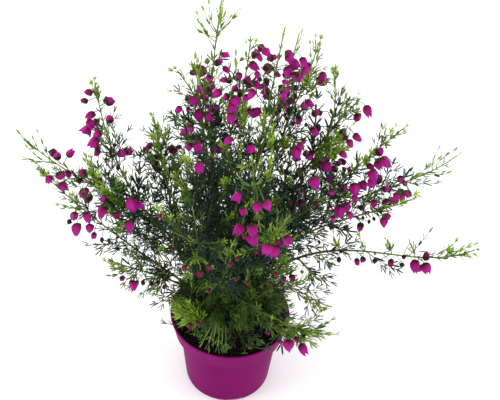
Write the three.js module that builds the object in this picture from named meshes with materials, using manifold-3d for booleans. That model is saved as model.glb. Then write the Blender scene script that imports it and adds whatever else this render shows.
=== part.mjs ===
// A flowering red boronia in a thin plastic nursery pot. Millimetres, +Z up, origin under the pot's centre.
import * as THREE from 'three';
import { mergeVertices } from 'three/addons/utils/BufferGeometryUtils.js';
import Module from 'manifold-3d';

const wasm = await Module();
wasm.setup();

// Pot: a 12 cm nursery pot with a stepped collar, standing on a notched foot ring
const potHeight = 90;
const rimRadius = 60;
const lipHeight = 2;
const lipBevel = 0.4;
const collarHeight = 21.5;
const collarFootRadius = 55.5;
const collarTopRadius = 59;
const bodyTopRadius = 50;
const footRadius = 42;
const wall = 1.5;
const cornerBevel = 1.5;
const floorUnderside = 2.5;
const footRingWidth = 4.5;
const hubRadius = 14;
const potSegments = 40;
const notchWidth = 17;
const notchDepth = 2;
const notchCount = 4;
const firstNotch = 12;
const drainHoleRadius = 4;
const drainHoleCircle = 26;
const drainHoleCount = 8;
const drainHoleSides = 10;

// Potting soil: fills the pot to a finger's width below the rim
const soilLevel = 79;
const soilMound = 3;
const soilSurface = [
  { radiusShare: 1, moundShare: 0 },
  { radiusShare: 0.8, moundShare: -0.3 },
  { radiusShare: 0.6, moundShare: 0.2 },
  { radiusShare: 0.3, moundShare: 0.7 },
];

// Trunk: a short woody stock with its tap root, from which the stems fan out
const rootDepth = 40;
const trunkTop = 112;
const rootRadius = 4.6;
const trunkTopRadius = 3.2;
const trunkSides = 10;

// Stems: radii where they leave their parent and at their tips
const boughRadius = 1.5;
const branchRadius = 1.05;
const tipRadius = 0.45;
const stemSides = 5;
const stepLength = 30;

// Side shoots that have hardened into twigs
const boughTwigs = [{ at: 0.36, length: 38 }, { at: 0.54, length: 34 }, { at: 0.72, length: 26 }];
const branchTwigs = [{ at: 0.45, length: 32 }, { at: 0.68, length: 26 }];
const twigRadius = 0.6;
const twigTipRadius = 0.36;
const twigLean = 48;
const firstTwigTurn = 45;
const turnPerTwig = 135;
const twigLift = 6;
const twigSides = 4;
const twigSteps = 2;

// Leafy shoots: a soft shoot with opposite pairs of needle leaves
const shootLength = 24;
const shootRadius = 0.5;
const shootLean = 42;
const leafPairs = 3;
const leafPairOffset = 0.1;
const leafLength = 13;
const leafShortening = 0.15;
const leafWidth = 0.7;
const leafTipWidth = 0.18;
const leafLean = 38;

// Flowers: a nodding bell on a slender stalk
const stalkLength = 8;
const stalkRadius = 0.4;
const stalkLean = 60;
const stalkSag = 4;
const nod = 0.6;
const bellLength = 10;
const bellRadius = 4.8;
const petalThickness = 0.7;
const bellSides = 10;

// Clearance between pieces that touch, and the number of spheres that measure a stem's and a twig's room
const gap = 0.3;
const stemBeads = 60;
const twigBeads = 24;

// Each stem leaves its parent at a fraction of the parent's length. Azimuth is in degrees from +X, turning
// towards +Y. Reach and height place the tip from the pot's axis and foot. Arch lifts the stem most near its
// start, and sway bends it sideways. A stem with no arch of its own has the usual one, and with no sway is plane.
const usualArch = 20;
const stems = [
  { name: 'tall', from: 'trunk', at: 0.95, azimuth: 108, reach: 65, height: 410, sway: 15 },
  { name: 'top_right', from: 'trunk', at: 0.95, azimuth: 56, reach: 60, height: 390 },
  { name: 'front', from: 'trunk', at: 0.92, azimuth: 279, reach: 70, height: 345, arch: 10, sway: 10 },
  { name: 'upper_left', from: 'trunk', at: 0.89, azimuth: 155, reach: 145, height: 320, sway: 40 },
  { name: 'upper_right', from: 'trunk', at: 0.86, azimuth: 33, reach: 130, height: 310, arch: 0, sway: 15 },
  { name: 'mid_right', from: 'trunk', at: 0.84, azimuth: 356, reach: 160, height: 265, arch: 30, sway: 10 },
  { name: 'back', from: 'trunk', at: 0.83, azimuth: 85, reach: 150, height: 235 },
  { name: 'mid_left', from: 'trunk', at: 0.81, azimuth: 166, reach: 205, height: 260, arch: 35, sway: 5 },
  { name: 'front_left', from: 'trunk', at: 0.81, azimuth: 235, reach: 100, height: 295 },
  { name: 'back_left', from: 'trunk', at: 0.78, azimuth: 122, reach: 150, height: 215 },
  { name: 'back_right', from: 'trunk', at: 0.72, azimuth: 50, reach: 140, height: 235 },
  { name: 'long_right', from: 'trunk', at: 0.75, azimuth: 2, reach: 230, height: 185, arch: 60, sway: -10 },
  { name: 'low_left', from: 'trunk', at: 0.7, azimuth: 199, reach: 120, height: 195, arch: 5, sway: -5 },
  { name: 'low_right', from: 'trunk', at: 0.68, azimuth: 324, reach: 120, height: 145, arch: 25, sway: -15 },
  { name: 'tuft_left', from: 'trunk', at: 0.64, azimuth: 218, reach: 60, height: 105 },
  { name: 'tuft_front', from: 'trunk', at: 0.66, azimuth: 256, reach: 50, height: 100 },
  { name: 'tuft_right', from: 'trunk', at: 0.6, azimuth: 288, reach: 60, height: 105, sway: -5 },
  { name: 'top_left', from: 'tall', at: 0.25, azimuth: 135, reach: 55, height: 360, sway: 5 },
  { name: 'top_middle', from: 'tall', at: 0.35, azimuth: 74, reach: 20, height: 400, arch: 15, sway: -5 },
  { name: 'top_front', from: 'top_right', at: 0.3, azimuth: 12, reach: 45, height: 415, arch: 25, sway: -5 },
  { name: 'top_far_right', from: 'upper_right', at: 0.25, azimuth: 46, reach: 95, height: 370, arch: 40 },
  { name: 'thin_right', from: 'upper_right', at: 0.6, azimuth: 36, reach: 100, height: 345, arch: 5, sway: -20 },
  { name: 'right_fork', from: 'upper_right', at: 0.3, azimuth: 12, reach: 150, height: 310, arch: -10 },
  { name: 'outer_right', from: 'mid_right', at: 0.3, azimuth: 11, reach: 205, height: 275, arch: 25, sway: -10 },
  { name: 'front_side', from: 'mid_right', at: 0.2, azimuth: 324, reach: 85, height: 290 },
  { name: 'right_budded', from: 'low_right', at: 0.25, azimuth: 327, reach: 110, height: 170, arch: 25, sway: 5 },
  { name: 'right_inner', from: 'long_right', at: 0.25, azimuth: 334, reach: 90, height: 185, arch: 10, sway: -5 },
  { name: 'far_left', from: 'upper_left', at: 0.2, azimuth: 123, reach: 110, height: 315, arch: 5, sway: -30 },
  { name: 'left_tuft', from: 'upper_left', at: 0.3, azimuth: 143, reach: 100, height: 285 },
  { name: 'left_bright', from: 'mid_left', at: 0.35, azimuth: 172, reach: 135, height: 265, sway: 30 },
  { name: 'drooping_left', from: 'low_left', at: 0.3, azimuth: 177, reach: 180, height: 260, arch: 5, sway: 10 },
  { name: 'front_right', from: 'front', at: 0.25, azimuth: 290, reach: 115, height: 320, arch: 0, sway: 5 },
  { name: 'front_top', from: 'front', at: 0.35, azimuth: 250, reach: 30, height: 325 },
  { name: 'front_centre', from: 'front', at: 0.15, azimuth: 269, reach: 110, height: 285 },
  { name: 'front_low', from: 'front_left', at: 0.3, azimuth: 252, reach: 105, height: 285 },
  { name: 'front_upper', from: 'front_left', at: 0.35, azimuth: 226, reach: 55, height: 315 },
  { name: 'back_low_left', from: 'back_left', at: 0.3, azimuth: 150, reach: 140, height: 150 },
  { name: 'back_low', from: 'back', at: 0.2, azimuth: 95, reach: 115, height: 145 },
  { name: 'back_low_right', from: 'back_right', at: 0.3, azimuth: 30, reach: 110, height: 150 },
];

// Leafy shoots and flowers: the stem, the place along it and the turn about it in degrees
const leafyShoots = [
  { name: 'leafy_shoot_tall', on: 'tall', at: 0.9, turn: 200 },
  { name: 'leafy_shoot_mid_left', on: 'mid_left', at: 0.86, turn: 60 },
  { name: 'leafy_shoot_outer_right', on: 'outer_right', at: 0.8, turn: 90 },
  { name: 'leafy_shoot_long_right', on: 'long_right', at: 0.84, turn: 60 },
  { name: 'leafy_shoot_right_fork', on: 'right_fork', at: 0.84, turn: 240 },
  { name: 'leafy_shoot_low_right', on: 'low_right', at: 0.8, turn: 0 },
  { name: 'leafy_shoot_low_left', on: 'low_left', at: 0.8, turn: 60 },
  { name: 'leafy_shoot_front', on: 'front', at: 0.86, turn: 100 },
  { name: 'leafy_shoot_tuft', on: 'tuft_left', at: 0.7, turn: 60 },
];

const flowers = [
  { name: 'flower_upper_left', on: 'upper_left', at: 0.88, turn: 90 },
  { name: 'flower_mid_left', on: 'mid_left', at: 0.8, turn: 120 },
  { name: 'flower_drooping_left', on: 'drooping_left', at: 0.72, turn: 70 },
  { name: 'flower_top_right', on: 'top_right', at: 0.82, turn: 0 },
  { name: 'flower_upper_right', on: 'upper_right', at: 0.95, turn: 180 },
  { name: 'flower_mid_right', on: 'mid_right', at: 0.7, turn: 180 },
  { name: 'flower_long_right', on: 'long_right', at: 0.76, turn: 90 },
  { name: 'flower_front_right', on: 'front_right', at: 0.85, turn: 90 },
  { name: 'flower_low_right', on: 'low_right', at: 0.62, turn: 90 },
];

const finishes = {
  pot: { color: '#8b2178', roughness: 0.4 },
  soil: { color: '#1c1714', roughness: 0.95 },
  bark: { color: '#5b5236', roughness: 0.85 },
  greenStem: { color: '#6f8a3c', roughness: 0.65 },
  leaf: { color: '#4f8a34', roughness: 0.5 },
  petal: { color: '#b01a98', roughness: 0.45 },
};

const up = new THREE.Vector3(0, 0, 1);
const radians = THREE.MathUtils.degToRad;

// Geometry and solids

function weld(geometry) {
  geometry.deleteAttribute('normal');
  geometry.deleteAttribute('uv');
  return mergeVertices(geometry);
}

function toSolid(geometry) {
  const welded = weld(geometry);
  const vertProperties = new Float32Array(welded.getAttribute('position').array);
  const triVerts = new Uint32Array(welded.getIndex().array);
  return new wasm.Manifold(new wasm.Mesh({ numProp: 3, vertProperties, triVerts }));
}

function toGeometry(solid) {
  const { vertProperties, triVerts } = solid.getMesh();
  const geometry = new THREE.BufferGeometry();
  geometry.setAttribute('position', new THREE.BufferAttribute(new Float32Array(vertProperties), 3));
  geometry.setIndex(new THREE.BufferAttribute(new Uint32Array(triVerts), 1));
  geometry.computeVertexNormals();
  return geometry;
}

function join(solids) {
  return solids.reduce((joined, solid) => joined.add(solid));
}

function part(name, solid, finish) {
  const mesh = new THREE.Mesh(toGeometry(solid), new THREE.MeshStandardMaterial({ metalness: 0, ...finish }));
  mesh.name = name;
  return mesh;
}

// A turned solid about the Z axis, from an outline of [radius, height] points
function turned(outline, segments) {
  const points = outline.map(([radius, height]) => new THREE.Vector2(radius, height));
  return new THREE.LatheGeometry(points, segments).rotateX(Math.PI / 2);
}

// Curves

// A stem's path: the straight way to its tip, lifted by its arch and bent by its sway. The two factors make the
// greatest lift equal the arch and the greatest bend equal the sway.
const archFactor = 27 / 4;
const swayFactor = 4;

class StemCurve extends THREE.Curve {
  constructor(base, { azimuth, reach, height, arch = usualArch, sway = 0 }) {
    super();
    const angle = radians(azimuth);
    this.base = base;
    this.tip = new THREE.Vector3(reach * Math.cos(angle), reach * Math.sin(angle), height);
    this.side = new THREE.Vector3(-Math.sin(angle), Math.cos(angle), 0);
    this.arch = arch;
    this.sway = sway;
  }

  getPoint(t, target = new THREE.Vector3()) {
    target.lerpVectors(this.base, this.tip, t);
    target.addScaledVector(up, archFactor * t * (1 - t) ** 2 * this.arch);
    return target.addScaledVector(this.side, swayFactor * t * (1 - t) * this.sway);
  }
}

// A side shoot's path: straight out at its lean, then bent up or down
class ShootCurve extends THREE.Curve {
  constructor(base, direction, side, length, lift) {
    super();
    this.base = base;
    this.direction = direction;
    this.side = side;
    this.length = length;
    this.lift = lift;
  }

  getPoint(t, target = new THREE.Vector3()) {
    target.copy(this.base).addScaledVector(this.direction, this.length * t);
    return target.addScaledVector(up, this.lift * t * t);
  }
}

// The directions across a curve at one place: a pair that never twists, because it follows the curve's side
function frameAt(curve, t) {
  const tangent = curve.getTangent(t);
  const across = curve.side.clone().addScaledVector(tangent, -curve.side.dot(tangent)).normalize();
  const over = new THREE.Vector3().crossVectors(across, tangent);
  return { tangent, across, over };
}

// The direction that leaves a curve sideways at a turn about it, in degrees
function outwards({ across, over }, turn) {
  const angle = radians(turn);
  return across.clone().multiplyScalar(Math.cos(angle)).addScaledVector(over, Math.sin(angle));
}

// A tapered rod bent along a curve
function bentRod(curve, baseRadius, endRadius, sides, steps) {
  const rod = new THREE.CylinderGeometry(endRadius, baseRadius, 1, sides, steps);
  const position = rod.getAttribute('position');
  const rings = Array.from({ length: steps + 1 }, (_, ring) => ring / steps);
  const frames = rings.map((t) => ({ centre: curve.getPoint(t), ...frameAt(curve, t) }));
  const vertex = new THREE.Vector3();
  for (let i = 0; i < position.count; i += 1) {
    vertex.fromBufferAttribute(position, i);
    const { centre, across, over } = frames[Math.round((vertex.y + 0.5) * steps)];
    const bent = centre.clone().addScaledVector(across, vertex.x).addScaledVector(over, vertex.z);
    position.setXYZ(i, bent.x, bent.y, bent.z);
  }
  return rod;
}

// Pot and soil

function makePot() {
  const shoulder = potHeight - collarHeight;
  const floorTop = floorUnderside + wall;
  const outline = [
    [0, 0],
    [hubRadius, 0],
    [hubRadius + cornerBevel, floorUnderside],
    [footRadius - footRingWidth - cornerBevel, floorUnderside],
    [footRadius - footRingWidth, 0],
    [footRadius, 0],
    [footRadius + cornerBevel, cornerBevel],
    [bodyTopRadius, shoulder - cornerBevel],
    [collarFootRadius, shoulder],
    [collarTopRadius, potHeight - lipHeight],
    [rimRadius, potHeight - lipHeight + lipBevel],
    [rimRadius, potHeight - lipBevel],
    [rimRadius - lipBevel, potHeight],
    [rimRadius - wall, potHeight],
    [collarFootRadius - wall, shoulder + wall],
    [bodyTopRadius - wall, shoulder],
    [footRadius, floorTop + cornerBevel],
    [footRadius - cornerBevel, floorTop],
    [hubRadius + wall / 2, floorTop],
    [hubRadius - wall / 2, wall],
    [0, wall],
  ];
  let pot = toSolid(turned(outline, potSegments));
  for (let i = 0; i < notchCount; i += 1) {
    const notch = new THREE.BoxGeometry(footRingWidth * 3, notchWidth, notchDepth * 2);
    notch.translate(footRadius, 0, 0).rotateZ(radians(firstNotch + (360 / notchCount) * i));
    pot = pot.subtract(toSolid(notch));
  }
  for (let i = 0; i < drainHoleCount; i += 1) {
    const hole = new THREE.CylinderGeometry(drainHoleRadius, drainHoleRadius, floorTop * 3, drainHoleSides);
    hole.rotateX(Math.PI / 2).translate(drainHoleCircle, 0, 0).rotateZ(radians((360 / drainHoleCount) * i));
    pot = pot.subtract(toSolid(hole));
  }
  return part('pot', pot, finishes.pot);
}

function makeSoil() {
  const shoulder = potHeight - collarHeight;
  const floorTop = floorUnderside + wall;
  const boreRadius = rootRadius + gap;
  const levelRadius = (collarFootRadius + collarTopRadius) / 2 - wall - 2 * gap;
  const outline = [
    [0, floorTop + gap],
    [footRadius - cornerBevel - gap, floorTop + gap],
    [bodyTopRadius - wall - gap, shoulder + gap],
    [collarFootRadius - wall - 2 * gap, shoulder + wall + gap],
    ...soilSurface.map((ring) => [levelRadius * ring.radiusShare, soilLevel + soilMound * ring.moundShare]),
    [boreRadius, soilLevel + soilMound],
    [boreRadius, rootDepth - gap],
    [0, rootDepth - gap],
  ];
  return part('potting_soil', toSolid(turned(outline, potSegments)), finishes.soil);
}

// Plant

function makeTrunkCurve() {
  const base = new THREE.Vector3(0, 0, rootDepth);
  return new StemCurve(base, { azimuth: 0, reach: 0, height: trunkTop, arch: 0 });
}

function radiusAt({ baseRadius, endRadius }, t) {
  return THREE.MathUtils.lerp(baseRadius, endRadius, t);
}

// The middle of a stem's rod, which runs straight from ring to ring
function middleOf({ curve, steps }, t) {
  const ring = Math.min(Math.floor(t * steps), steps - 1);
  return curve.getPoint(ring / steps).lerp(curve.getPoint((ring + 1) / steps), t * steps - ring);
}

// Where a rod of this radius starts, so that its end face just clears its parent's surface
function seatOn(parent, at, direction, radius) {
  const { tangent } = frameAt(parent.curve, at);
  const away = direction.clone().addScaledVector(tangent, -direction.dot(tangent)).normalize();
  const lean = direction.dot(away);
  const distance = radiusAt(parent, at) + gap + radius * Math.sqrt(1 - lean * lean);
  return middleOf(parent, at).addScaledVector(away, distance);
}

function growStems() {
  const trunk = { curve: makeTrunkCurve(), steps: 1, baseRadius: rootRadius, endRadius: trunkTopRadius };
  const grown = new Map([['trunk', trunk]]);
  for (const stem of stems) {
    const parent = grown.get(stem.from);
    const baseRadius = stem.from === 'trunk' ? boughRadius : branchRadius;
    const free = new StemCurve(parent.curve.getPoint(stem.at), stem);
    const seat = seatOn(parent, stem.at, free.getTangent(0), baseRadius);
    const curve = new StemCurve(seat, stem);
    const steps = Math.max(4, Math.round(curve.getLength() / stepLength));
    grown.set(stem.name, { curve, steps, baseRadius, endRadius: tipRadius });
  }
  return grown;
}

// A shoot's path from a place on a stem. A joined shoot starts inside the stem, and a separate one off it.
function shootFrom(stem, at, turn, lean, radius, length, lift, joined) {
  const frame = frameAt(stem.curve, at);
  const sideways = outwards(frame, turn);
  const direction = frame.tangent.clone().multiplyScalar(Math.cos(radians(lean)));
  direction.addScaledVector(sideways, Math.sin(radians(lean)));
  const seat = joined ? middleOf(stem, at) : seatOn(stem, at, direction, radius);
  const side = new THREE.Vector3().crossVectors(direction, up).normalize();
  return new ShootCurve(seat, direction, side, length, lift);
}

// A string of spheres that fills a rod, to measure its room
function beads(pointAt, count, radiusOf) {
  const places = Array.from({ length: count + 1 }, (_, i) => i / count);
  return places.map((t) => ({ centre: pointAt(t), radius: radiusOf(t) }));
}

function isClear(rod, others) {
  return others.every((other) => rod.every((a) => other.every((b) => {
    const room = a.radius + b.radius + 2 * gap;
    return a.centre.distanceToSquared(b.centre) > room * room;
  })));
}

function makeTwigs(name, stem, places, occupied) {
  const twigs = [];
  places.forEach(({ at, length }, i) => {
    const turn = firstTwigTurn + turnPerTwig * i;
    const curve = shootFrom(stem, at, turn, twigLean, twigRadius, length, twigLift, true);
    const rod = beads((t) => curve.getPoint(t), twigBeads, () => twigRadius);
    const others = [...occupied].filter(([other]) => other !== name).map(([, taken]) => taken);
    if (isClear(rod, others)) {
      occupied.set(`${name} twig ${i}`, rod);
      twigs.push(toSolid(bentRod(curve, twigRadius, twigTipRadius, twigSides, twigSteps)));
    }
  });
  return twigs;
}

function makeLeaf(base, direction, length) {
  const side = new THREE.Vector3().crossVectors(direction, up).normalize();
  const curve = new ShootCurve(base, direction, side, length, 0);
  return toSolid(bentRod(curve, leafWidth, leafTipWidth, twigSides, 1));
}

function makeLeafyShoot({ name, on, at, turn }, grown) {
  const curve = shootFrom(grown.get(on), at, turn, shootLean, shootRadius, shootLength, twigLift, false);
  const solids = [toSolid(bentRod(curve, shootRadius, twigTipRadius, twigSides, twigSteps))];
  for (let pair = 1; pair <= leafPairs; pair += 1) {
    const t = pair / leafPairs - leafPairOffset;
    const frame = frameAt(curve, t);
    for (const sideTurn of [0, 180]) {
      const sideways = outwards(frame, sideTurn + 90 * pair);
      const direction = frame.tangent.clone().multiplyScalar(Math.cos(radians(leafLean)));
      direction.addScaledVector(sideways, Math.sin(radians(leafLean)));
      solids.push(makeLeaf(curve.getPoint(t), direction, leafLength * (1 - leafShortening * pair)));
    }
  }
  return part(name, join(solids), finishes.leaf);
}

// A bell hanging mouth down from the origin, hollow below
function makeBell() {
  const outline = [
    [0, -bellLength * 0.1 - petalThickness],
    [bellRadius * 0.6, -bellLength * 0.2 - petalThickness],
    [bellRadius - petalThickness, -bellLength * 0.5],
    [bellRadius * 0.5, -bellLength],
    [bellRadius * 0.5 + petalThickness, -bellLength],
    [bellRadius, -bellLength * 0.5],
    [bellRadius * 0.7, -bellLength * 0.1],
    [0, 0],
  ];
  return turned(outline, bellSides);
}

function makeFlower({ name, on, at, turn }, grown) {
  const stalk = shootFrom(grown.get(on), at, turn, stalkLean, stalkRadius, stalkLength, -stalkSag, false);
  const end = stalk.getPoint(1);
  const hang = stalk.getTangent(1).negate().lerp(up, nod).normalize();
  const bell = makeBell();
  bell.applyQuaternion(new THREE.Quaternion().setFromUnitVectors(up, hang));
  const crown = end.addScaledVector(hang, petalThickness / 2);
  bell.translate(crown.x, crown.y, crown.z);
  const rod = bentRod(stalk, stalkRadius, stalkRadius, twigSides, twigSteps);
  return part(name, toSolid(rod).add(toSolid(bell)), finishes.petal);
}

function makePlant() {
  const grown = growStems();
  const occupied = new Map();
  for (const [name, stem] of grown) {
    occupied.set(name, beads((t) => middleOf(stem, t), stemBeads, (t) => radiusAt(stem, t)));
  }
  const trunk = grown.get('trunk');
  const trunkRod = bentRod(trunk.curve, trunk.baseRadius, trunk.endRadius, trunkSides, 1);
  const pieces = [part('trunk', toSolid(trunkRod), finishes.bark)];
  for (const { name, from } of stems) {
    const stem = grown.get(name);
    const rod = toSolid(bentRod(stem.curve, stem.baseRadius, stem.endRadius, stemSides, stem.steps));
    const places = from === 'trunk' ? boughTwigs : branchTwigs;
    const twigs = name.startsWith('tuft') ? [] : makeTwigs(name, stem, places, occupied);
    const finish = from === 'trunk' ? finishes.bark : finishes.greenStem;
    pieces.push(part(`stem_${name}`, join([rod, ...twigs]), finish));
  }
  leafyShoots.forEach((shoot) => pieces.push(makeLeafyShoot(shoot, grown)));
  flowers.forEach((flower) => pieces.push(makeFlower(flower, grown)));
  return pieces;
}

const group = new THREE.Group();
group.add(makePot(), makeSoil(), ...makePlant());

export default group;
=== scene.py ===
import math
import random
import bpy
import bmesh
import numpy as np
from mathutils import Matrix, Vector, kdtree, noise


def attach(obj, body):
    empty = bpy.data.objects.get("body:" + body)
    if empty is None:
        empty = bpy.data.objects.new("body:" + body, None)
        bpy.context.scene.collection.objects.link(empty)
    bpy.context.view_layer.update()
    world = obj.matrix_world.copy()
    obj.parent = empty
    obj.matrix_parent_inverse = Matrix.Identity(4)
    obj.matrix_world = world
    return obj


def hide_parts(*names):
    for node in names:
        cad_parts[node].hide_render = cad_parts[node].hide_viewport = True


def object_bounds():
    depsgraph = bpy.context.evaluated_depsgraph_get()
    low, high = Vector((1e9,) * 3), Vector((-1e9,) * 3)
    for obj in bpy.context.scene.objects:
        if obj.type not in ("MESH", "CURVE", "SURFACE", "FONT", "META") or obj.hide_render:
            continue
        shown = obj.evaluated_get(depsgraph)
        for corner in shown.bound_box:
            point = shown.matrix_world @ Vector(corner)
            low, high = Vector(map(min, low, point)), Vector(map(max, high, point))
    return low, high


# A flowering red boronia in a thin magenta nursery pot. Metres, +Z up, the pot standing at the origin.
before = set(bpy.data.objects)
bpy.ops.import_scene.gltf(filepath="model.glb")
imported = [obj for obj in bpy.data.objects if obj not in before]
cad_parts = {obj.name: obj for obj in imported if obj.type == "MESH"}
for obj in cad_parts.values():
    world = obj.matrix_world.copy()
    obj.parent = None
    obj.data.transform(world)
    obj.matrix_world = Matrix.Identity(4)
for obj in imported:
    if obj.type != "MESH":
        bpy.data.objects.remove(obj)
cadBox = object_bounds()
mm = 0.001
up = Vector((0, 0, 1))
tiny = 1e-6  # a length in metres that counts as none
bakeMap = "OFBake"  # the pieces' own UV map: shade across, place along a leaf, petal or stem upwards


def between(ends, share):
    return ends[0] + (ends[1] - ends[0]) * share


def clamp(value, low=0, high=1):
    return min(high, max(low, value))


# Camera, first because flowers are placed along its lines of sight

view = {
    "position": Vector((0, -0.673, 0.848)),
    "yaw": -1.1,
    "pitch": 48.0,
    "roll": 3.6,
    "lens": 72,
    "sensor": 36,
    "photoSize": (500, 400),
}
viewTurn = (
    Matrix.Rotation(math.radians(view["yaw"]), 3, "Z")
    @ Matrix.Rotation(math.radians(view["pitch"]), 3, "X")
    @ Matrix.Rotation(math.radians(view["roll"]), 3, "Z")
)
cameraData = bpy.data.cameras.new("camera")
cameraData.lens = view["lens"]
cameraData.sensor_width = view["sensor"]
camera = bpy.data.objects.new("camera", cameraData)
camera.matrix_world = Matrix.Translation(view["position"]) @ viewTurn.to_4x4()
bpy.context.collection.objects.link(camera)
bpy.context.scene.camera = camera
viewBack = viewTurn.transposed()
focalPixels = view["lens"] / view["sensor"] * view["photoSize"][0]


def sightLine(pixel):
    # the direction from the camera through a pixel of the 500 x 400 photo
    wide, high = view["photoSize"]
    across, down = (pixel[0] - wide / 2) / focalPixels, (pixel[1] - high / 2) / focalPixels
    return (viewTurn @ Vector((across, -down, -1))).normalized()


def pixelOf(place):
    # where a place shows in the photo's frame, and how far it is from the camera
    away = place - view["position"]
    seen = viewBack @ away
    wide, high = view["photoSize"]
    return wide / 2 - focalPixels * seen.x / seen.z, high / 2 + focalPixels * seen.y / seen.z, away.length


def clockAngle(hour):
    return math.radians(360 / 12 * hour)


def clockHand(hour):
    # the direction across the picture that a clock's hand points to, with 12 upwards
    angle = clockAngle(hour)
    return viewTurn @ Vector((math.sin(angle), math.cos(angle), 0))


# The plant may stand out of the solid model's box by a share of its side and some mm, and no more
overhangLimit = {"share": 0.03, "more": 8}
overhang = [overhangLimit["share"] * (high - low) + overhangLimit["more"] * mm for low, high in zip(*cadBox)]
boxLow = [low - over for low, over in zip(cadBox[0], overhang)]
boxHigh = [high + over for high, over in zip(cadBox[1], overhang)]


def fits(place, margin=0):
    return all(low + margin <= value <= high - margin for low, value, high in zip(boxLow, place, boxHigh))


# Materials

def linear(hexColour):
    # sRGB hex to linear RGBA
    parts = [int(hexColour[i:i + 2], 16) / 255 for i in (1, 3, 5)]
    return [c / 12.92 if c <= 0.04045 else ((c + 0.055) / 1.055) ** 2.4 for c in parts] + [1]


def addNode(tree, kind, values=None, links=None, ramp=None, **settings):
    node = tree.nodes.new(kind)
    for key, value in settings.items():
        setattr(node, key, value)
    for socket, value in (values or {}).items():
        node.inputs[socket].default_value = value
    for socket, source in (links or {}).items():
        tree.links.new(source, node.inputs[socket])
    if ramp:
        stops = node.color_ramp.elements
        while len(stops) < len(ramp):
            stops.new(0.5)
        for stop, (place, colour) in zip(stops, sorted(ramp)):
            stop.position = place
            stop.color = linear(colour)
    return node


def rampFrom(tree, source, *stops):
    # colours at places along a value from 0 to 1
    return addNode(tree, "ShaderNodeValToRGB", links={"Fac": source}, ramp=stops).outputs["Color"]


def stepFrom(tree, source, low, high):
    step = addNode(tree, "ShaderNodeMapRange", {"From Min": low, "From Max": high}, {"Value": source})
    return step.outputs["Result"]


def newMaterial(name, **values):
    material = bpy.data.materials.new(name)
    material.use_nodes = True
    tree = material.node_tree
    shader = tree.nodes["Principled BSDF"]
    for socket, value in values.items():
        shader.inputs[socket.replace("_", " ")].default_value = value
    return material, tree, shader


def shadeAndPlace(tree):
    # the two coordinates of the pieces' own map
    uv = addNode(tree, "ShaderNodeUVMap", uv_map=bakeMap)
    apart = addNode(tree, "ShaderNodeSeparateXYZ", links={"Vector": uv.outputs["UV"]})
    return uv.outputs["UV"], apart.outputs["X"], apart.outputs["Y"]


def blend(tree, kind, first, second, amount):
    # amount is a number or an output; the node's sockets 0, 6 and 7 are the amount and the two colours
    values, links = {}, {6: first, 7: second}
    if isinstance(amount, (int, float)):
        values[0] = amount
    else:
        links[0] = amount
    return addNode(tree, "ShaderNodeMix", values, links, data_type="RGBA", blend_type=kind).outputs[2]


def grainOn(tree, shader, vector, scale, rough, depth):
    # one grain that varies roughness and raises the surface; depth in mm
    stretched = addNode(tree, "ShaderNodeMapping", {"Scale": scale}, {"Vector": vector}).outputs[0]
    noisy = addNode(tree, "ShaderNodeTexNoise", {"Scale": 1, "Detail": 3}, {"Vector": stretched})
    grain = noisy.outputs["Fac"]
    gloss = addNode(tree, "ShaderNodeMapRange", {"To Min": rough[0], "To Max": rough[1]}, {"Value": grain})
    bump = addNode(tree, "ShaderNodeBump", {"Strength": 0.5, "Distance": depth * mm}, {"Height": grain})
    tree.links.new(gloss.outputs["Result"], shader.inputs["Roughness"])
    tree.links.new(bump.outputs["Normal"], shader.inputs["Normal"])
    return grain


def tintedTissue(name, hues, tints, grain, **values):
    # thin plant tissue: its hue follows the shade across the map, and a tint runs along its length
    material, tree, shader = newMaterial(name, **values)
    uv, shade, place = shadeAndPlace(tree)
    hue = rampFrom(tree, shade, *hues)
    tint = rampFrom(tree, place, *tints)
    colour = blend(tree, "MULTIPLY", hue, tint, 1.0)
    grainOn(tree, shader, uv, *grain)
    tree.links.new(colour, shader.inputs["Base Color"])
    return material


# Leaf: a thin blade under a waxy cuticle, deep bluish green when old, yellow-green and softer while it grows
def makeLeafMaterial():
    # the shade across the map is the leaf's age, and also carries painted light and shade added where the
    # leaves are placed
    hues = (0, "#101e18"), (0.25, "#1b3324"), (0.5, "#39532e"), (0.75, "#6f922a"), (1, "#a4c442")
    tints = (0, "#b9bf94"), (0.3, "#ffffff"), (0.85, "#ffffff"), (1, "#e3d49c")
    grain = (160, 24, 1), (0.42, 0.66), 0.08
    return tintedTissue("waxy_leaf", hues, tints, grain, IOR=1.42, Specular_IOR_Level=0.25)


# Petal: soft cells that scatter light, magenta with a faint streak, redder where it leaves the calyx
def makePetalMaterial():
    hues = (0, "#5c0a24"), (0.04, "#740c3c"), (0.15, "#8e0e70"), (0.5, "#a6118a")
    tints = (0, "#a06a70"), (0.3, "#f0c4cc"), (0.55, "#ffffff"), (1, "#f4e8ff")
    grain = (700, 8, 1), (0.5, 0.7), 0.1
    gloss = {"IOR": 1.4, "Specular_IOR_Level": 0.15, "Sheen_Weight": 0.06}
    return tintedTissue("velvety_petal", hues, tints, grain, **gloss)


# Calyx and bud: firm waxed scales, nearly black green at the foot, maroon above; the youngest are olive
def makeBudMaterial():
    material, tree, shader = newMaterial("waxed_bud_scale", IOR=1.42, Specular_IOR_Level=0.2)
    uv, shade, place = shadeAndPlace(tree)
    dark = rampFrom(tree, place, (0, "#2a3014"), (0.2, "#1a140e"), (0.55, "#2c0d18"), (1, "#4c1030"))
    red = rampFrom(tree, place, (0, "#56321c"), (0.4, "#701428"), (1, "#8c164c"))
    green = rampFrom(tree, place, (0, "#4f6a1e"), (0.6, "#5e6a20"), (1, "#5a4a22"))
    isRed = stepFrom(tree, shade, 0.62, 0.66)
    isGreen = stepFrom(tree, shade, 0.72, 0.75)
    colour = blend(tree, "MIX", dark, red, isRed)
    colour = blend(tree, "MIX", colour, green, isGreen)
    grainOn(tree, shader, uv, (400, 12, 1), (0.38, 0.6), 0.1)
    tree.links.new(colour, shader.inputs["Base Color"])
    return material


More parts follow.
